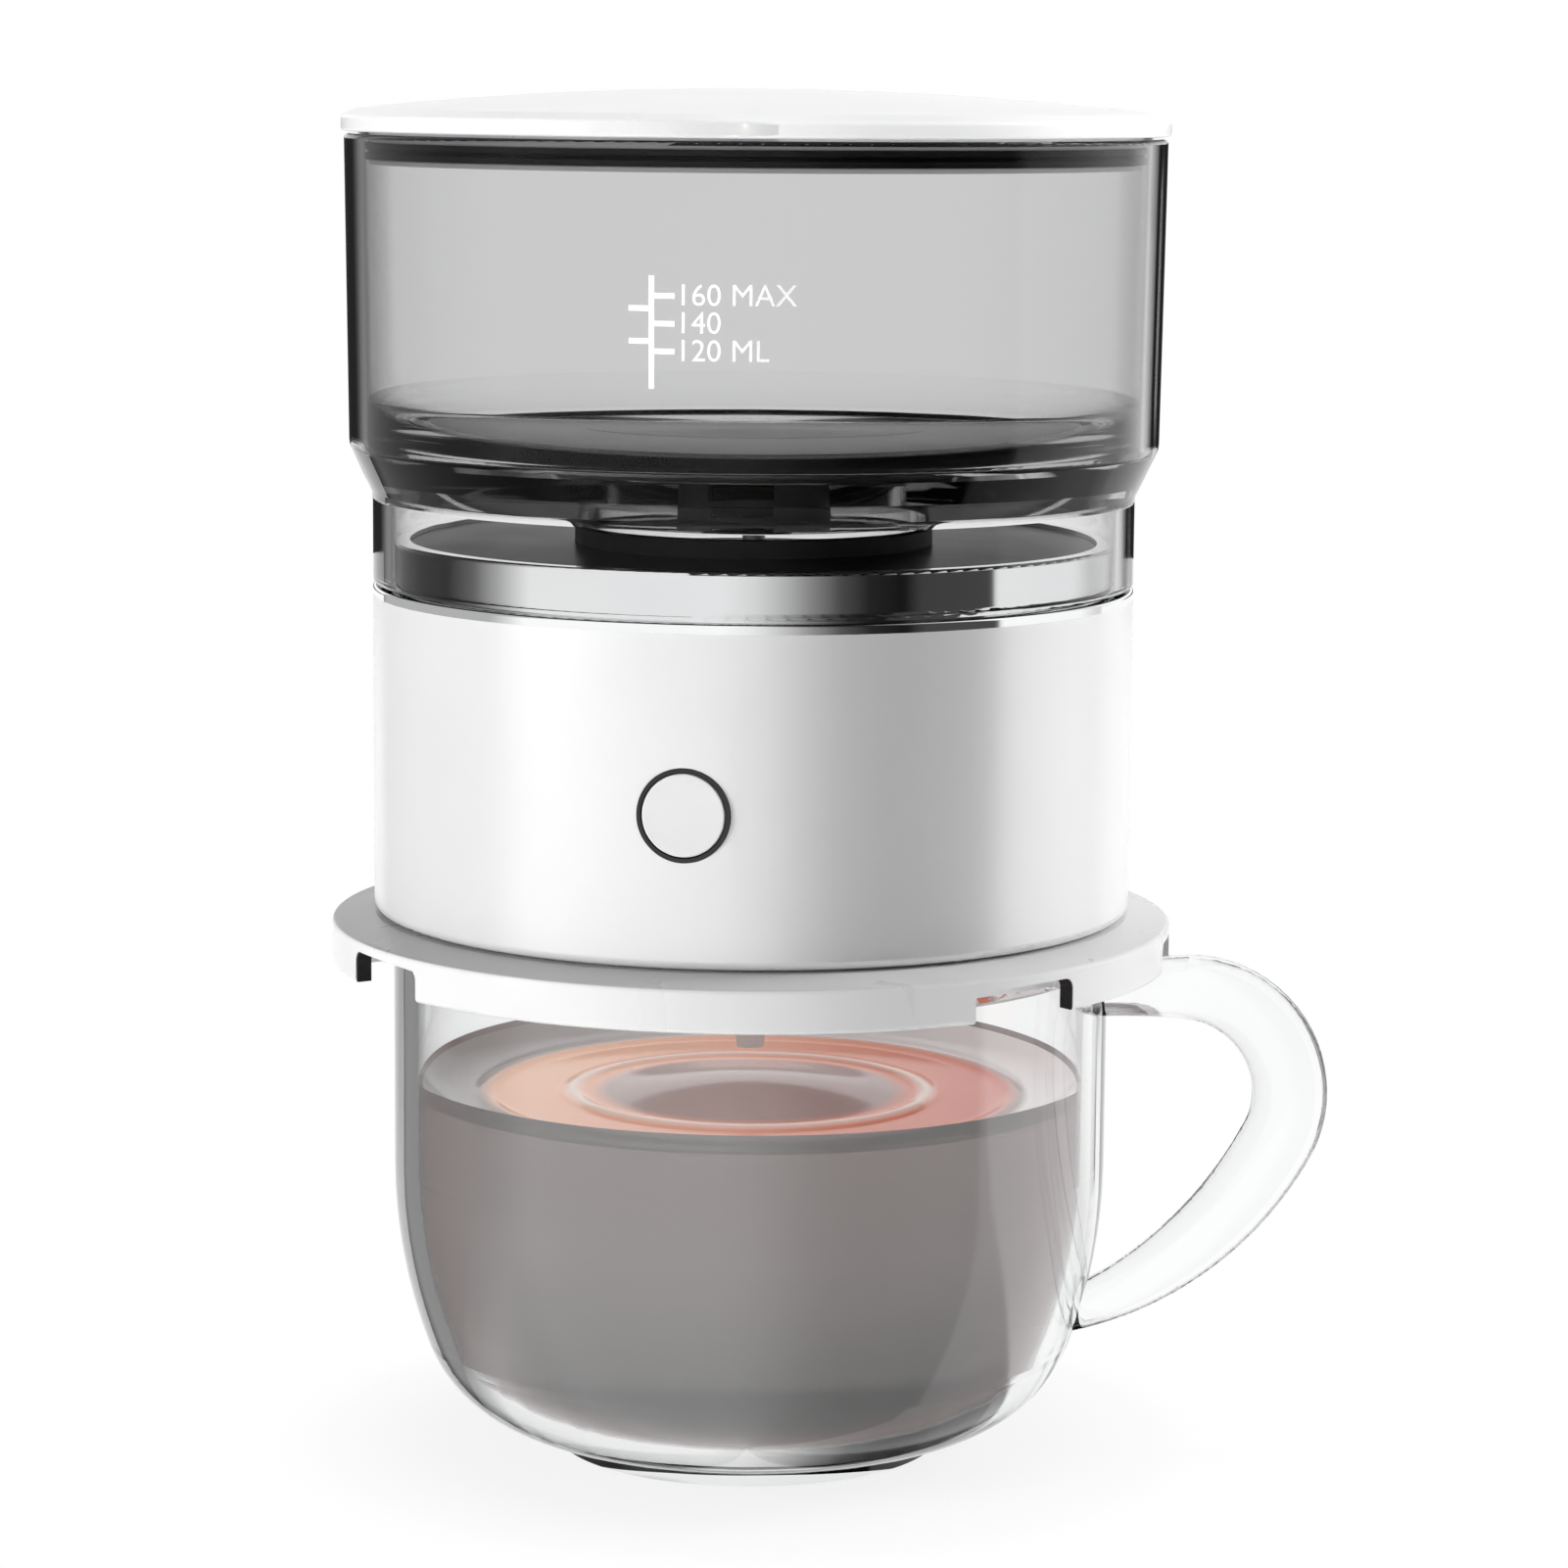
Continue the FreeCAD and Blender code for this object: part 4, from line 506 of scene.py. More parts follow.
class Look(Enum):
    """Every finish of the coffee maker."""

    WHITE_BODY = Finish("white_body", (0.90, 0.90, 0.90), (0.88, 0.88, 0.885), 0.25, 0.03, depth=1e-7, metallic=0.3)
    WHITE_LID = Finish("white_lid", (0.88, 0.88, 0.88), (0.85, 0.85, 0.855), 0.30, 0.06, depth=1e-6, coat=0.15)
    WHITE_HOLDER = Finish(
        "white_holder", (0.88, 0.88, 0.88), (0.84, 0.84, 0.845), 0.28, 0.06, depth=1.5e-6,
        # painted shade: the top of the flange is grey, darkest on the left and white towards the handle
        bands=(Band((0.36, 0.36, 0.365), (0.88, 0.88, 0.88), inner=47.0, low=70.45, soft=0.12, spread=50.0),),
    )
    WHITE_BUTTON = Finish("white_button", (0.88, 0.88, 0.88), (0.85, 0.85, 0.85), 0.24, 0.05, depth=1e-6)
    GREY_BEZEL = Finish("grey_bezel", (0.012, 0.012, 0.014), (0.02, 0.02, 0.022), 0.45, 0.08)
    BLACK_DECK = Finish(
        "black_deck", (0.012, 0.012, 0.013), (0.016, 0.016, 0.017), 0.3, 0.08, depth=8e-7, sheen_level=0.04
    )
    BLACK_SEAL = Finish("black_seal", (0.006, 0.006, 0.006), (0.011, 0.011, 0.011), 0.62, 0.1, depth=5e-6)
    BLACK_FRAME = Finish("black_frame", (0.014, 0.014, 0.015), (0.022, 0.022, 0.023), 0.5, 0.1, depth=5e-6)
    GREY_LINER = Finish("grey_liner", (0.10, 0.10, 0.105), (0.13, 0.13, 0.135), 0.48, 0.08, depth=4e-6)
    GREY_SHOWER = Finish("grey_shower", (0.20, 0.20, 0.205), (0.24, 0.24, 0.245), 0.42, 0.08, depth=3e-6)
    PALE_GEAR = Finish("pale_gear", (0.62, 0.60, 0.55), (0.56, 0.54, 0.49), 0.4, 0.08, depth=3e-6)
    CHROME_TRIM = Finish(
        "chrome_trim", (0.95, 0.955, 0.96), (0.92, 0.925, 0.935), 0.045, 0.03, Grain.POLISHED, 6e-6, metallic=1.0
    )
    STEEL = Finish("drawn_steel", (0.55, 0.55, 0.56), (0.48, 0.48, 0.49), 0.3, 0.12, Grain.BRUSHED, 4e-6, metallic=1.0)
    WINDING = Finish(
        "lacquered_winding", (0.42, 0.17, 0.05), (0.32, 0.12, 0.035), 0.35, 0.1, Grain.BRUSHED, 3e-5, 0.8, 0.4
    )
    CELL_SLEEVE = Finish("cell_sleeve", (0.03, 0.08, 0.12), (0.04, 0.10, 0.15), 0.25, 0.08, depth=2e-6, coat=0.3)
    BOARD = Finish("solder_mask", (0.006, 0.045, 0.02), (0.01, 0.07, 0.03), 0.35, 0.1, depth=4e-6, drift_scale=900.0)
    # painted glow: the print gives off light of its own, so that it reads as bright white
    PRINT = Finish("white_print", (0.95, 0.95, 0.95), (0.92, 0.92, 0.92), 0.5, 0.08, depth=1e-7, glow=0.25)
    SMOKED = ClearFinish(
        "smoked_plastic", (0.985, 0.985, 0.985), (0.05, 0.05, 0.055), 38.0, 1.45, depth=1.5e-5,
        # painted shade: the tank turns nearly black at its edges, where it is seen at a grazing angle
        glint=(0.12, 0.12, 0.12), edge=(0.06, 0.06, 0.062), edge_from=0.58,
        bands=(Band((0.84, 0.84, 0.845), low=132.4, soft=0.4),),
    )
    SMOKED_CORNER = ClearFinish(
        "smoked_corner", (0.985, 0.985, 0.985), (0.05, 0.05, 0.055), 38.0, 1.45, depth=1e-6, glint=(0.3, 0.3, 0.3)
    )
    GREY_INSERT = Finish(
        "grey_insert", (0.74, 0.74, 0.745), (0.66, 0.66, 0.665), 0.42, 0.08, depth=3e-6, sheen_level=0.3
    )
    GLASS = ClearFinish(
        "mug_glass", (0.985, 0.99, 0.99), (0.80, 0.87, 0.86), 4.0, 1.47, 0.01, 0.012,
        # painted shade: the glass turns grey at its edges, where it is seen at a grazing angle
        edge=(0.80, 0.81, 0.81), edge_from=0.5,
    )
    COFFEE = ClearFinish(
        "brewed_coffee", (0.62, 0.59, 0.59), (0.80, 0.66, 0.62), 14.0, 1.333, 0.10, 0.03, passing=0.45, depth=1e-5,
        # painted shade: the coffee is tinted darker towards the bottom of the mug
        edge=(0.70, 0.52, 0.51), edge_from=0.3, bands=(Band((0.45, 0.46, 0.46), high=34.0, soft=14.0),),
    )
    COFFEE_TOP = Finish(
        "coffee_surface", (0.44, 0.41, 0.405), (0.40, 0.37, 0.365), 0.10, 0.03, Grain.POLISHED, 1e-5,
        # painted glow: the foam gives off light of its own
        drift_scale=120.0, sheen_level=0.2, glow=0.32,
        bands=(
            # painted shade and painted light: the foam's outer ring is dark on the left and pale towards the handle
            Band((0.36, 0.35, 0.35), (0.92, 0.90, 0.90), inner=36.0, soft=1.0, spread=44.0),
            Band((0.93, 0.54, 0.36), (0.70, 0.20, 0.14), outer=36.0, soft=2.0),
            # painted highlight: a pale ring on the foam's inner wave
            Band((0.88, 0.74, 0.68), inner=21.8, outer=25.0, soft=1.4),
            Band((0.43, 0.33, 0.32), (0.38, 0.28, 0.27), outer=21.5, soft=3.0),
        ),
    )


Shapes = dict[str, tuple[Look, Shape]]


def finished_piece(name: str, mesh: Shape) -> Piece:
    """Turns a bmesh into an object at the origin, smooth apart from its sharp edges.

    Args:
        name: The piece's name.
        mesh: Its shape, freed here.

    Returns:
        The new object.
    """
    data = bpy.data.meshes.new(name)
    mesh.to_mesh(data)
    mesh.free()
    data.polygons.foreach_set("use_smooth", [True] * len(data.polygons))
    data.set_sharp_from_angle(angle=math.radians(CREASE_DEGREES))
    piece = bpy.data.objects.new(name, data)
    bpy.context.scene.collection.objects.link(piece)
    return piece


class Dresser:
    """Hands out materials, each made once, and puts them on objects."""

    def __init__(self) -> None:
        """Makes the shared effects."""
        self.effects = EffectLibrary()
        self.made: dict[Look, Material] = {}

    def dress(self, piece: Piece, look: Look) -> None:
        """Puts a finish on every slot of an object.

        Args:
            piece: The object.
            look: The finish.
        """
        if look not in self.made:
            self.made[look] = look.value.make(self.effects)
        if not piece.data.materials:
            piece.data.materials.append(self.made[look])
        for slot in piece.material_slots:
            slot.material = self.made[look]


class AddedPieces:
    """New pieces that ride on one body of the model."""

    carrier: Carrier

    def shapes(self) -> Shapes:
        """Gives the finish and the shape of each piece by its name."""
        raise NotImplementedError

    def build(self, dresser: Dresser) -> None:
        """Makes the pieces.

        Args:
            dresser: Gives the finishes.
        """
        for name, (look, mesh) in self.shapes().items():
            piece = finished_piece(name, mesh)
            dresser.dress(piece, look)
            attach(piece, self.carrier.value)
            LOG.info("%s has %d faces", name, len(piece.data.polygons))


def turned(corners: Outline, steps: int = TURN_STEPS, bend: tuple[int, float, int] | None = None) -> Shape:
    """Turns an outline about Z, either from axis to axis or back to its first corner.

    Args:
        corners: Radius and height of each corner in millimetres.
        steps: Number of steps round the turn.
        bend: Place, radius in millimetres and number of steps of a corner that is rounded.

    Returns:
        The closed shape, with its faces outwards.
    """
    mesh = bmesh.new()
    points = [mesh.verts.new((radius * MM, 0.0, height * MM)) for radius, height in corners]
    for start, end in zip(points, points[1:]):
        mesh.edges.new((start, end))
    if bend is not None:
        place, radius, segments = bend
        bmesh.ops.bevel(
            mesh, geom=[points[place]], offset=radius * MM, offset_type="OFFSET", segments=segments, profile=0.5,
            affect="VERTICES", material=-1,
        )
    outline = mesh.verts[:] + mesh.edges[:]
    bmesh.ops.spin(mesh, geom=outline, cent=(0, 0, 0), axis=(0, 0, 1), angle=math.tau, steps=steps, use_merge=True)
    bmesh.ops.remove_doubles(mesh, verts=mesh.verts, dist=SAME_PLACE)
    bmesh.ops.recalc_face_normals(mesh, faces=mesh.faces)
    return mesh


def turned_sheet(under: Outline, thickness: Callable[[float], float], steps: int = TURN_STEPS) -> Shape:
    """Turns a sheet about Z.

    Args:
        under: Radius and height of each corner of its under side in millimetres, from the edge inwards.
        thickness: Gives its thickness at a radius.
        steps: Number of steps round the turn.

    Returns:
        The closed shape, a disc where its under side ends at the axis, or else a ring.
    """
    corners = under[::-1] + [(radius, height + thickness(radius)) for radius, height in under]
    ring = under[-1][0] > 0.0
    return turned(corners + corners[:1] if ring else corners, steps)


def inwards(edge: float, count: int) -> list[float]:
    """Gives even radii from an edge to the axis, in so many steps."""
    return [edge * (1 - step / count) for step in range(count + 1)]


@dataclass
class MugCoffee(AddedPieces):
    """Coffee that has run into the mug, and the foam on it; sizes are millimetres.

    Attributes:
        level: Height of the coffee's surface.
        gap: Gap between coffee and glass.
        bore: Radius of the mug's bore.
        belly_height: Height at which the bowl starts to turn in.
        belly_radius: Radius of that turn.
        foot_centre: Radius and height of the middle of the foot's turn.
        foot_round: Radius of the foot's turn.
        mound: Radius and rise of the mound where the drops fall.
        waves: Radius and rise of each ring wave.
        wave_width: Width of a wave.
        foam: Radius of the foam that floats on the coffee.
        foam_lift: Gap between coffee and foam.
        foam_thickness: Least thickness of the foam.
        creep: How far the coffee creeps up the glass.
        creep_width: How fast that fades away from the glass.
        bowl_steps: Number of steps up the bowl.
        bowl_crowding: How closely those stand at the foot.
        edge_steps: Number and width of the steps down from the raised edge.
        foam_steps: Number of steps across the foam.
    """

    level: float = 46.8
    gap: float = 0.15
    bore: float = 44.0
    belly_height: float = 38.0
    belly_radius: float = 67.0
    foot_centre: tuple[float, float] = (26.51, 19.93)
    foot_round: float = 14.3
    mound: tuple[float, float] = (22.0, 1.8)
    waves: tuple[tuple[float, float], ...] = ((23.4, 0.45), (35.0, 0.40))
    wave_width: float = 1.2
    foam: float = 43.3
    foam_lift: float = 0.02
    foam_thickness: float = 0.1
    creep: float = 3.7
    creep_width: float = 2.2
    bowl_steps: int = 40
    bowl_crowding: float = 1.6
    edge_steps: tuple[int, float] = (39, 0.4)
    foam_steps: int = 88

    carrier = Carrier.MUG

    def shapes(self) -> Shapes:
        """Gives the coffee and the foam."""
        return {"coffee": (Look.COFFEE, self._coffee()), "coffee_surface": (Look.COFFEE_TOP, self._foam())}

    def _wall(self, height: float) -> float:
        """Works out how wide the coffee is.

        Args:
            height: Height above the table in millimetres.

        Returns:
            The coffee's radius there in millimetres.
        """
        centre_across, centre_up = self.foot_centre
        turn = centre_up - self.foot_round * (self.belly_height - centre_up) / (self.belly_radius - self.foot_round)
        if height < max(turn, 0.0):
            reach = self.foot_round - self.gap
            return centre_across + math.sqrt(max(reach**2 - (height - centre_up) ** 2, 0.0))
        if height < self.belly_height:
            reach = self.belly_radius - self.gap
            centre = self.bore - self.belly_radius
            return centre + math.sqrt(reach**2 - (height - self.belly_height) ** 2)
        return self.bore - self.gap

    def _top(self, radius: float) -> float:
        """Gives the height of the coffee at a radius, both in millimetres: level, and raised at the glass."""
        return self.level + self.creep * math.exp((radius - self.bore + self.gap) / self.creep_width)

    def _coffee(self) -> Shape:
        """Shapes the coffee: the inside of the bowl up to the raised edge, and the curve down to its level.

        Returns:
            The coffee's shape.
        """
        low, edge = self.foot_centre[1] - self.foot_round + self.gap, self.bore - self.gap
        rise = self._top(edge) - low
        shares = [(step / self.bowl_steps) ** self.bowl_crowding for step in range(self.bowl_steps + 1)]
        corners = [(0.0, low)] + [(self._wall(low + rise * share), low + rise * share) for share in shares]
        count, width = self.edge_steps
        radii = [edge - step * width for step in range(1, count + 1)]
        corners += [(radius, self._top(radius)) for radius in radii]
        return turned(corners + [(0.0, self.level)])

    def _swell(self, radius: float) -> float:
        """Works out how thick the foam is: a mound where the drops fall and ring waves.

        Args:
            radius: Distance from the axis in millimetres.

        Returns:
            The foam's thickness there in millimetres.
        """
        mound = self.mound[1] * max(1.0 - (radius / self.mound[0]) ** 2, 0.0) ** 2
        waves = sum(rise * math.exp(-(((radius - place) / self.wave_width) ** 2)) for place, rise in self.waves)
        return self.foam_thickness + mound + waves

    def _foam(self) -> Shape:
        """Shapes the foam that floats on the coffee."""
        under = [(radius, self._top(radius) + self.foam_lift) for radius in inwards(self.foam, self.foam_steps)]
        return turned_sheet(under, self._swell)


@dataclass
class TankFloor(AddedPieces):
    """Grey inlay on the tank's sloping floor, strainer, and clear round on a black gasket; sizes are millimetres.

    Attributes:
        sump: Radius of the sump.
        bore: Radius of the tank's wall at its foot.
        bevel: Size of the bevel between the tank's floor and wall.
        fall: Height of the floor at the sump and at the wall.
        corner: Radius of the clear round between wall and floor.
        round_skin: Thickness of the round at the wall and over the floor.
        round_lift: Height of the round's under side over the floor.
        round_steps: Number of steps across the round.
        gasket: Height of the gasket's under side over the floor, and its thickness.
        inlay: Height of the inlay's under side over the floor, and its thickness.
        inlay_margin: Gap from the inlay to the sump and to the round.
        inlay_steps: Number of steps round the inlay.
        dome: How far the strainer's middle stands above its edge.
        rings: Number of ring ribs on the strainer.
        rib: Height of a rib.
        strainer_edge: Radius of the strainer.
        strainer_sheet: Height of the strainer's under side over the floor, and its thickness.
        strainer_steps: Number of steps across and round the strainer.
    """

    sump: float = 20.3
    bore: float = 50.12
    bevel: float = 0.8
    fall: tuple[float, float] = (131.12, 131.9)
    corner: float = 7.0
    round_skin: tuple[float, float] = (0.12, 0.24)
    round_lift: float = 0.19
    round_steps: int = 24
    gasket: tuple[float, float] = (0.03, 0.12)
    inlay: tuple[float, float] = (0.04, 0.3)
    inlay_margin: tuple[float, float] = (0.5, 0.1)
    inlay_steps: int = 128
    dome: float = 1.5
    rings: int = 7
    rib: float = 0.12
    strainer_edge: float = 21.9
    strainer_sheet: tuple[float, float] = (0.38, 0.25)
    strainer_steps: tuple[int, int] = (84, 96)

    carrier = Carrier.TANK

    def shapes(self) -> Shapes:
        """Gives the inlay, the strainer, the gasket and the round.

        Returns:
            The finish and the shape of each by its name.
        """
        return {
            "floor_inlay": (Look.GREY_INSERT, self._inlay()),
            "sump_strainer": (Look.GREY_INSERT, self._strainer()),
            "corner_gasket": (Look.BLACK_SEAL, self._gasket()),
            "floor_round": (Look.SMOKED_CORNER, self._round()),
        }

    def _floor(self, radius: float) -> float:
        """Gives the floor's height at a radius, both in millimetres."""
        low, high = self.fall
        return low + (high - low) * (radius - self.sump) / (self.bore - self.bevel - self.sump)

    def _seat(self, lift: float) -> Outline:
        """Gives a line down the bevelled corner and along the floor, lifted off both, in millimetres."""
        inner, side, height = self.bore - self.corner, self.bore - self.bevel, self.fall[1] + lift
        return [(self.bore, height + self.bevel), (side, height), (inner, self._floor(inner) + lift)]

    def _inlay(self) -> Shape:
        """Shapes the inlay as a thin ring that follows the floor.

        Returns:
            The inlay's shape.
        """
        lift, thick = self.inlay
        ends = self.bore - self.corner - self.inlay_margin[1], self.sump + self.inlay_margin[0]
        return turned_sheet([(end, self._floor(end) + lift) for end in ends], lambda _: thick, self.inlay_steps)

    def _gasket(self) -> Shape:
        """Shapes the gasket as a thin ring in the floor's corner."""
        return turned_sheet(self._seat(self.gasket[0]), lambda _: self.gasket[1])

    def _round(self) -> Shape:
        """Shapes the round as a thin angle along floor and wall, with its hollow corner filled.

        Returns:
            The round's shape.
        """
        wall, thin = self.bore - self.round_skin[0], self.round_skin[1]
        low, top = self.fall[1] + thin, self.fall[1] + self.corner
        under = self._seat(self.round_lift)[::-1]
        corners = under + [(self.bore, top), (wall, top), (wall, low), (under[0][0], low), under[0]]
        return turned(corners, bend=(corners.index((wall, low)), self.corner - 2 * thin, self.round_steps))

    def _strainer(self) -> Shape:
        """Shapes the strainer as a low dome with ring ribs, resting on the inlay's inner edge.

        Returns:
            The strainer's shape.
        """
        edge, (across, steps) = self.strainer_edge, self.strainer_steps
        foot, sheet = self.fall[0] + self.strainer_sheet[0], self.strainer_sheet[1]
        under = [(radius, foot + self.dome * (1 - (radius / edge) ** 2)) for radius in inwards(edge, across)]
        turn = math.tau * self.rings / edge
        return turned_sheet(under, lambda radius: sheet + self.rib * math.cos(turn * radius), steps)


@dataclass
class NotchShadeSheets(AddedPieces):
    """Soft black pads on the outer ends of the holder's four notches; sizes are millimetres.

    Attributes:
        angle: Degrees from the front or back to the middle of a notch.
        half: Half the width of a notch.
        depth: Nearest and furthest place of a sheet along the way out through its notch.
        low: Lowest height of a sheet.
        corner: Radius and height of the middle of a notch's upper corner.
        bend: Degrees by which a sheet follows that corner.
        bend_steps: Number of steps in that.
        thickness: How thick a sheet is.
        gap: Gap between a sheet and its notch.
        ends: Name of each sheet, 1 or -1 for the handle's side or the other, and 1 or -1 for front or back.
    """

    angle: float = 48.2
    half: float = 8.0
    depth: tuple[float, float] = (52.35, 54.3)
    low: float = 65.2
    corner: tuple[float, float] = (1.4, 67.9)
    bend: float = 62.0
    bend_steps: int = 8
    thickness: float = 0.3
    gap: float = 0.03
    ends: tuple[tuple[str, int, int], ...] = (
        ("front_right", 1, 1), ("front_left", -1, 1), ("back_right", 1, -1), ("back_left", -1, -1),
    )

    carrier = Carrier.HOLDER

    def shapes(self) -> Shapes:
        """Gives the four black sheets of painted shade."""
        return {"notch_shade_sheet_" + end: (Look.BLACK_SEAL, self._shade_sheet(*sides)) for end, *sides in self.ends}

    def _shade_sheet(self, across: int, along: int) -> Shape:
        """Shapes one sheet of painted shade as a strip that runs up the notch's end and round its corner.

        Args:
            across: 1 on the handle's side, -1 on the other.
            along: 1 at the front, -1 at the back.

        Returns:
            The pad's shape.
        """
        radius, height = self.corner
        face, (near, far) = self.half - self.gap, self.depth
        mesh = bmesh.new()
        foot, top = (mesh.verts.new((face * MM, -near * MM, z * MM)) for z in (self.low, height))
        mesh.edges.new((foot, top))
        middle, angle = ((face - radius) * MM, -near * MM, height * MM), math.radians(self.bend)
        bmesh.ops.spin(mesh, geom=[top], cent=middle, axis=(0, -1, 0), angle=angle, steps=self.bend_steps)
        strip = bmesh.ops.extrude_edge_only(mesh, edges=mesh.edges[:])["geom"]
        moved = [part for part in strip if isinstance(part, bmesh.types.BMVert)]
        bmesh.ops.translate(mesh, verts=moved, vec=(0.0, (near - far) * MM, 0.0))
        bmesh.ops.remove_doubles(mesh, verts=mesh.verts, dist=SAME_PLACE)
        bmesh.ops.recalc_face_normals(mesh, faces=mesh.faces)
        bmesh.ops.solidify(mesh, geom=mesh.faces[:], thickness=self.thickness * MM)
        turn = Matrix.Rotation(math.radians(self.angle), 3, "Z")
        bmesh.ops.rotate(mesh, verts=mesh.verts, cent=(0, 0, 0), matrix=turn)
        bmesh.ops.scale(mesh, verts=mesh.verts, vec=(across, along, 1.0))
        bmesh.ops.recalc_face_normals(mesh, faces=mesh.faces)
        return mesh


@dataclass
class TankScale(AddedPieces):
    """Printed volume scale on the front of the tank: an upright, ticks and numbers; sizes are millimetres.

    Attributes:
        foot_height: Height of the tank wall's foot.
        foot_radius: Radius there.
        top_height: Height of the tank's rim.
        top_radius: Radius there.
        lift: How far the print stands off the wall.
        stroke: Width of a line.
        upright: Lowest and greatest height of the upright.
        upright_across: Place of the upright along the wall, from the front.
        tick: Length of a tick.
        right_ticks: Heights of the ticks with numbers.
        left_ticks: Heights of the plain ticks.
        labels: The numbers, from the top.
        letter: Size of the letters.
        label_across: Where the letters start along the wall.
    """

    foot_height: float = 132.7
    foot_radius: float = 52.5
    top_height: float = 172.3
    top_radius: float = 53.0
    lift: float = 0.03
    stroke: float = 0.68
    upright: tuple[float, float] = (142.9, 156.4)
    upright_across: float = -3.55
    tick: float = 2.5
    right_ticks: tuple[float, ...] = (154.0, 150.7, 147.4)
    left_ticks: tuple[float, ...] = (152.5, 148.6)
    labels: tuple[str, ...] = ("160 MAX", "140", "120 ML")
    letter: float = 3.7
    label_across: float = -0.6

    carrier = Carrier.TANK

    def shapes(self) -> Shapes:
        """Gives the marks and each line of lettering.

        Returns:
            The finish and the shape of each by its name.
        """
        prints = {"marks": self._marks()}
        for text, height in zip(self.labels, self.right_ticks):
            prints[text.split()[0]] = self._label(text, height)
        return {"scale_" + name: (Look.PRINT, mesh) for name, mesh in prints.items()}

    def _wrap(self, across: float, height: float) -> Vector:
        """Lays a point of the flat print on the wall.

        Args:
            across: Its place along the wall in millimetres, from the front.
            height: Its height in millimetres.

        Returns:
            Its place in metres.
        """
        share = (height - self.foot_height) / (self.top_height - self.foot_height)
        radius = self.foot_radius + (self.top_radius - self.foot_radius) * share + self.lift
        angle = across / radius - math.pi / 2
        return Vector((radius * math.cos(angle), radius * math.sin(angle), height)) * MM

    def _marks(self) -> Shape:
        """Shapes the upright and its ticks as flat strips on the wall.

        Returns:
            The marks' shape.
        """
        half = self.stroke / 2
        left = self.upright_across
        strips = [(left - half, left + half, *self.upright)]
        strips += [(left + half, left + half + self.tick, z - half, z + half) for z in self.right_ticks]
        strips += [(left - half - self.tick, left - half, z - half, z + half) for z in self.left_ticks]
        mesh = bmesh.new()
        for x_low, x_high, z_low, z_high in strips:
            corners = [(x_low, z_low), (x_high, z_low), (x_high, z_high), (x_low, z_high)]
            mesh.faces.new([mesh.verts.new(self._wrap(x, z)) for x, z in corners])
        return mesh

    def _label(self, text: str, height: float) -> Shape:
        """Shapes one line of lettering and lays it on the wall.

        Args:
            text: The letters.
            height: Height of the line's middle in millimetres.

        Returns:
            The lettering's shape.
        """
        curve = bpy.data.curves.new("lettering", "FONT")
        curve.body = text
        curve.size = self.letter
        curve.align_y = "CENTER"
        curve.resolution_u = 4
        holder = bpy.data.objects.new("lettering", curve)
        flat = bpy.data.meshes.new_from_object(holder)
        bpy.data.objects.remove(holder)
        mesh = bmesh.new()
        mesh.from_mesh(flat)
        bpy.data.meshes.remove(flat)
        for vert in mesh.verts:
            vert.co = self._wrap(self.label_across + vert.co.x, height + vert.co.y)
        return mesh


@dataclass
class MakerNodes:
    """The finish of every node of the model that stays as it is."""

    looks: dict[Look, tuple[str, ...]] = field(
        default_factory=lambda: {
            Look.GLASS: ("mug",),
            Look.WHITE_LID: ("tank_lid",),
            Look.WHITE_BODY: ("body_shell",),
            Look.WHITE_HOLDER: ("cup_holder",),
            Look.WHITE_BUTTON: ("power_button",),
            Look.GREY_BEZEL: ("button_bezel",),
            Look.SMOKED: ("water_tank",),
            Look.CHROME_TRIM: ("trim_ring",),
            Look.BLACK_DECK: ("top_deck",),
            Look.GREY_INSERT: ("valve_cage",),
            Look.BLACK_SEAL: ("lid_seal", "collar_seal", "pin_seal", "valve_seat"),
            Look.BLACK_FRAME: ("filter_frame", "hub_cap", "switch_plunger", "valve_plunger"),
            Look.STEEL: (
                "filter_mesh", "base_screws", "drive_motor", "motor_shaft", "lift_pin", "tact_switch", "charge_socket",
            ),
            Look.GREY_LINER: ("chamber_liner",),
            Look.GREY_SHOWER: ("sprinkler",),
            Look.PALE_GEAR: ("drive_pinion",),
            Look.WINDING: ("solenoid_coil",),
            Look.CELL_SLEEVE: ("battery_cells",),
            Look.BOARD: ("control_board", "charge_board"),
        }
    )

    def build(self, dresser: Dresser, nodes: dict[str, Piece]) -> None:
        """Dresses the nodes.

        Args:
            dresser: Gives the finishes.
            nodes: The model's nodes.
        """
        for look, names in self.looks.items():
            for name in names:
                dresser.dress(nodes[name], look)
                LOG.info("%s wears %s", name, look.value.name)


@dataclass(frozen=True)
class Lamp:
    """A soft lamp that looks at the middle of the object.

    Attributes:
        name: The lamp's name.
        azimuth: Degrees from the front, positive towards the handle.
        elevation: Degrees above the table.
        distance: Metres from the object.
        size: Width and height in metres.
        power: Watts.
        spread: Angle in degrees to which a grid narrows it.
        aim: Height in metres that it looks at, where that isn't the middle.
    """

    name: str
    azimuth: float
    elevation: float
    distance: float
    size: tuple[float, float]
    power: float
    spread: float = 180.0
    aim: float | None = None

    def place(self, target: Vector) -> None:
        """Adds the lamp.

        Args:
            target: What it looks at.
        """
        data = bpy.data.lights.new(self.name, "AREA")
        data.shape = "RECTANGLE"
        data.size, data.size_y = self.size
        data.energy = self.power
        data.spread = math.radians(self.spread)
        if self.aim is not None:
            target = Vector((target.x, target.y, self.aim))
        lamp = bpy.data.objects.new(self.name, data)
        side, rise = math.radians(self.azimuth), math.radians(self.elevation)
        way = Vector((math.sin(side) * math.cos(rise), -math.cos(side) * math.cos(rise), math.sin(rise)))
        aim = (-way).to_track_quat("-Z", "Y").to_matrix().to_4x4()
        lamp.visible_camera = lamp.visible_glossy = lamp.visible_transmission = False
        lamp.matrix_world = Matrix.Translation(target + way * self.distance) @ aim
        bpy.context.scene.collection.objects.link(lamp)


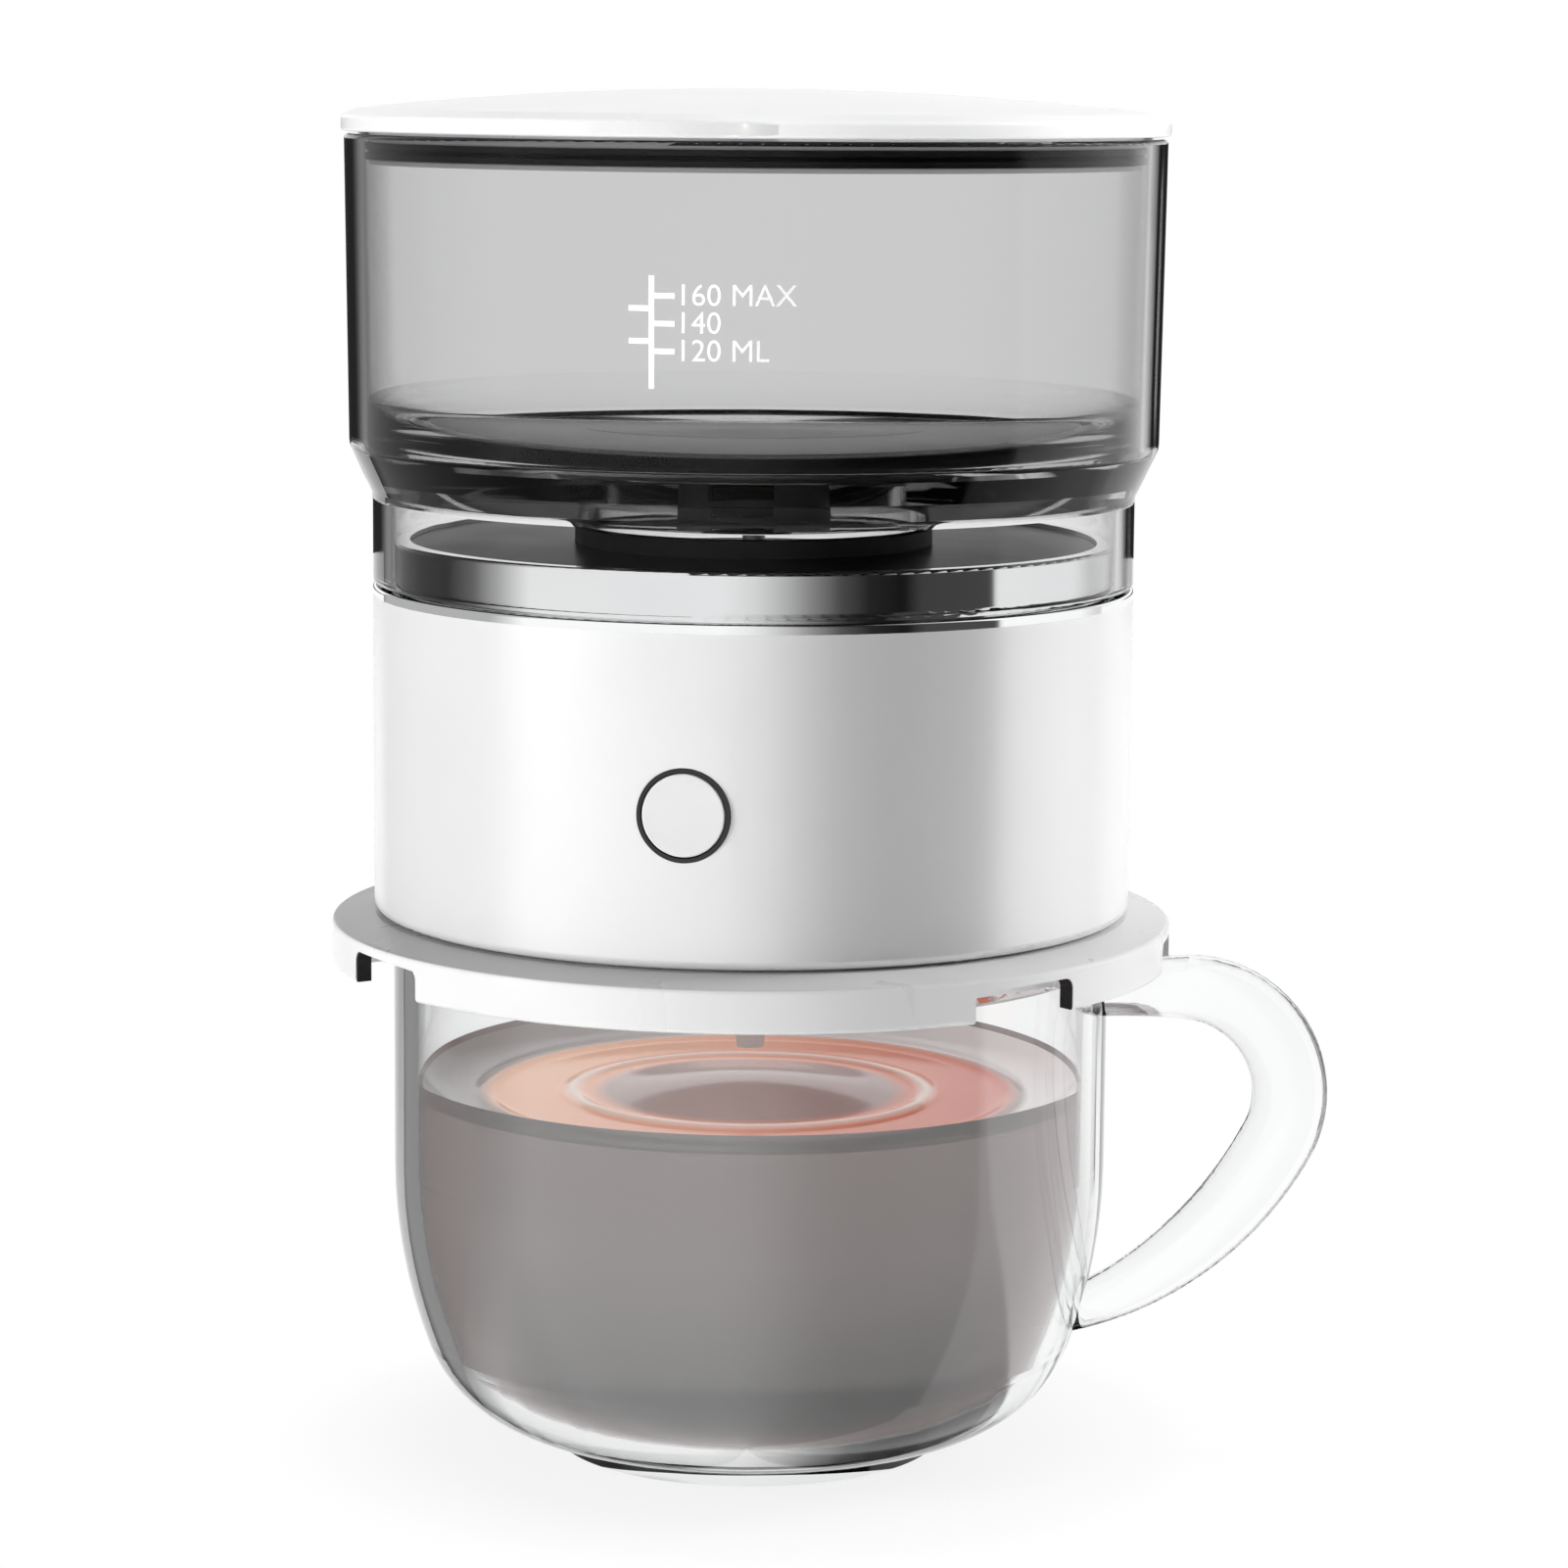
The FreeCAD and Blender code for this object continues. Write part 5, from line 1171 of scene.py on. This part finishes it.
@dataclass
class Studio:
    """Pale floor, white surroundings with a dark side for mirrors, and soft lamps.

    Attributes:
        target: What the lamps look at.
        floor_side: Side of the floor in metres.
        floor_drop: How far the floor lies below the mug in metres.
        floor_white: How white the floor is to a matt surface.
        floor_glow: Share of the floor by the mug that is plain white to the eye.
        clear_floor: Radii in metres between which all of it turns plain white to the eye.
        ambient: Strength of the surroundings for matt surfaces.
        walls: Brightness of the surroundings in a mirror at degrees from the front, positive towards the handle.
        left_light: Least brightness on the left in a mirror that isn't behind a clear wall.
        left_depth: Number of clear surfaces behind which that light is gone.
        left_edge: Radians from the front between which that light fades out.
        back: How far back, of 1, the surroundings are white outside the strip below the horizon.
        strip: Depth of that strip, as a share of a ray's length.
        lamps: The soft lamps.
    """

    target: Vector = field(default_factory=lambda: Vector((0.0, 0.0, 0.09)))
    floor_side: float = 8.0
    floor_drop: float = 0.0001
    floor_white: float = 0.9
    floor_glow: float = 0.85
    clear_floor: tuple[float, float] = (0.03, 0.07)
    ambient: float = 0.10
    walls: tuple[tuple[float, float], ...] = (
        (-180.0, 0.03), (-177.5, 0.03), (-176.0, 1.0), (-166.5, 1.0), (-164.5, 0.03), (-143.0, 0.03), (-136.0, 0.3),
        (-128.0, 0.05), (-114.0, 0.012), (-98.0, 0.02), (-85.0, 0.15), (-73.5, 0.51), (-62.0, 1.0), (0.0, 1.0),
        (10.3, 0.83), (18.7, 0.57), (27.3, 0.28), (35.7, 0.088), (44.7, 0.022), (56.0, 0.01), (62.0, 0.06),
        (87.0, 0.07), (89.0, 1.0), (125.0, 1.0), (136.0, 0.7), (150.0, 1.0), (156.0, 1.0), (162.0, 0.03),
        (180.0, 0.03),
    )
    left_light: float = 0.45
    left_depth: float = 4.0
    left_edge: tuple[float, float] = (-2.49, -2.37)
    back: float = 0.75
    strip: float = 0.099
    lamps: tuple[Lamp, ...] = (
        Lamp("key_left", -50.0, 6.0, 1.3, (0.6, 1.0), 18.8),
        Lamp("fill_right", 114.0, 22.0, 1.4, (0.5, 1.0), 17.0),
        Lamp("top_soft", 0.0, 90.0, 2.0, (0.06, 0.06), 16.8),
        Lamp("lid_strip", 42.0, 0.0, 1.0, (0.4, 0.004), 0.004, spread=1.0, aim=0.1752),
    )

    def build(self) -> None:
        """Sets the world, the floor and the lamps."""
        bpy.context.scene.view_settings.view_transform = "Standard"
        self._world()
        self._floor()
        for lamp in self.lamps:
            lamp.place(self.target)

    def _seen(self, graph: Graph, direction: Socket) -> tuple[Socket, ...]:
        """Sorts the rays that show the surroundings.

        Args:
            graph: The nodes of the world or the floor.
            direction: Where the ray goes.

        Returns:
            1 for what is seen straight or through glass, 1 for what has been mirrored on its way, and the colour that
            a mirror shows.
        """
        path = graph.add("LightPath").outputs
        clear = path["Is Transmission Ray"]
        straight = graph.math("MAXIMUM", path["Is Camera Ray"], clear)
        sharp = graph.math("MAXIMUM", path["Is Glossy Ray"], clear)
        mirrored = graph.math("MULTIPLY", path["Glossy Depth"], sharp, clamp=True)
        fade = {"From Max": self.left_depth, "To Min": self.left_light, "To Max": 0.0}
        least = graph.add("MapRange", {"Value": path["Transmission Depth"], **fade}).outputs["Result"]
        walls = graph.add("Group", {"Direction": direction, "Least": least}, node_tree=self._walls())
        return straight, mirrored, walls.outputs["Colour"]

    def _walls(self) -> Tree:
        """Builds the brightness of the surroundings by direction.

        Returns:
            A group from a direction and the least level on the left to a grey.
        """
        name = "studio_walls"
        if name in bpy.data.node_groups:
            return bpy.data.node_groups[name]
        graph = GroupGraph(name, {"Direction": (0.0, 0.0, 0.0), "Least": 0.0})
        parts = graph.add("SeparateXYZ", {0: graph.given["Direction"]}).outputs
        turn = graph.math("ARCTAN2", parts["X"], graph.math("MULTIPLY", parts["Y"], -1.0))
        ramp = graph.add("ValToRGB", {"Fac": graph.ramp(turn, -math.pi, math.pi)})
        stops = ramp.color_ramp.elements
        while len(stops) < len(self.walls):
            stops.new(0.5)
        for stop, (degrees, level) in zip(stops, self.walls):
            stop.position = (degrees + 180.0) / 360.0
            stop.color = (level, level, level, 1.0)
        left = graph.math("LESS_THAN", parts["X"], 0.0)
        lit = graph.math("MULTIPLY", left, graph.ramp(turn, *self.left_edge))
        wall = graph.math("MAXIMUM", ramp.outputs["Color"], graph.math("MULTIPLY", lit, graph.given["Least"]))
        half = self.strip / 2
        strip = graph.math("COMPARE", parts["Z"], -half, half)
        behind = graph.math("GREATER_THAN", parts["Y"], self.back)
        sky = graph.math("GREATER_THAN", behind, strip)
        return graph.finish("Colour", "NodeSocketColor", graph.math("MAXIMUM", wall, sky))

    def _world(self) -> None:
        """Sets white surroundings that light the object gently and show mirrors a dark side."""
        world = bpy.data.worlds.new("white_studio")
        bpy.context.scene.world = world
        world.use_nodes = True
        graph = Graph(world.node_tree)
        direction = graph.add("TexCoord").outputs["Generated"]
        straight, mirrored, walls = self._seen(graph, direction)
        plain = graph.add("Mix", {0: straight, 2: self.ambient, 3: 1.0}, data_type="FLOAT")
        colour = graph.mix(mirrored, plain.outputs[0], walls)
        sky = graph.add("Background", {"Color": colour, "Strength": 1.0})
        graph.add("OutputWorld", {"Surface": sky.outputs[0]})

    def _floor(self) -> None:
        """Lays the floor, white to the eye apart from a soft shadow at the mug's foot."""
        mesh = bmesh.new()
        bmesh.ops.create_grid(mesh, x_segments=1, y_segments=1, size=self.floor_side / 2)
        bmesh.ops.translate(mesh, verts=mesh.verts, vec=(0.0, 0.0, -self.floor_drop))
        floor = finished_piece("floor", mesh)
        floor.visible_glossy = False
        material, graph = blank_material("pale_floor")
        here = graph.here()
        reach = graph.add("VectorMath", {0: here}, operation="LENGTH")
        near, far = self.clear_floor
        limits = {"From Min": near, "From Max": far, "To Min": self.floor_glow, "To Max": 1.0}
        plain = graph.add(
            "MapRange", {"Value": reach.outputs["Value"], **limits}, interpolation_type="SMOOTHSTEP"
        )
        straight, mirrored, walls = self._seen(graph, here)
        share = graph.math("MULTIPLY", straight, plain.outputs["Result"])
        matt = graph.add("BsdfDiffuse", {"Color": (*(self.floor_white,) * 3, 1.0)})
        glow = graph.add("Emission", {"Color": graph.mix(mirrored, WHITE, walls), "Strength": 1.0})
        mix = graph.add("MixShader", {0: share, 1: matt.outputs[0], 2: glow.outputs[0]})
        graph.add("OutputMaterial", {"Surface": mix.outputs[0]})
        floor.data.materials.append(material)


@dataclass(frozen=True)
class PhotoCamera:
    """The camera of the photograph.

    Attributes:
        azimuth: Degrees from the front, positive towards the handle.
        distance: Metres from the upright axis.
        height: Metres above the table.
        focal_pixels: Focal length in pixels of the photograph.
        pitch: Degrees downwards.
        axis_left: Pixels by which the object's axis lies left of the middle.
        roll: Degrees by which the object leans to the right.
        sensor: Width of the sensor in millimetres.
        nearest: Metres from which it sees things.
    """

    azimuth: float = 9.7
    distance: float = 0.6305
    height: float = 0.1808
    focal_pixels: float = 4950.0
    pitch: float = 8.39
    axis_left: float = 33.0
    roll: float = 0.45
    sensor: float = 36.0
    nearest: float = 0.01

    def build(self) -> None:
        """Adds the camera and makes it the scene's."""
        data = bpy.data.cameras.new("photo_camera")
        data.sensor_width = self.sensor
        data.lens = self.focal_pixels / PHOTO_PIXELS * self.sensor
        data.clip_start = self.nearest
        camera = bpy.data.objects.new("photo_camera", data)
        side = math.radians(self.azimuth)
        place = Vector((math.sin(side) * self.distance, -math.cos(side) * self.distance, self.height))
        aside = math.atan(self.axis_left / self.focal_pixels)
        turn = Matrix.Rotation(side - aside, 4, "Z")
        tilt = Matrix.Rotation(math.pi / 2 - math.radians(self.pitch), 4, "X")
        lean = Matrix.Rotation(math.radians(self.roll), 4, "Z")
        camera.matrix_world = Matrix.Translation(place) @ turn @ tilt @ lean
        bpy.context.scene.collection.objects.link(camera)
        bpy.context.scene.camera = camera


def main() -> None:
    """Loads the model, dresses it, adds the new pieces and sets the studio."""
    logging.basicConfig(level=logging.INFO, format="%(name)s: %(message)s")
    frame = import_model()
    nodes = frame["nodes"]
    dresser = Dresser()
    MakerNodes().build(dresser, nodes)
    for group in (MugCoffee(), TankFloor(), NotchShadeSheets(), TankScale()):
        group.build(dresser)
    Studio().build()
    PhotoCamera().build()


if __name__ == "__main__":
    main()
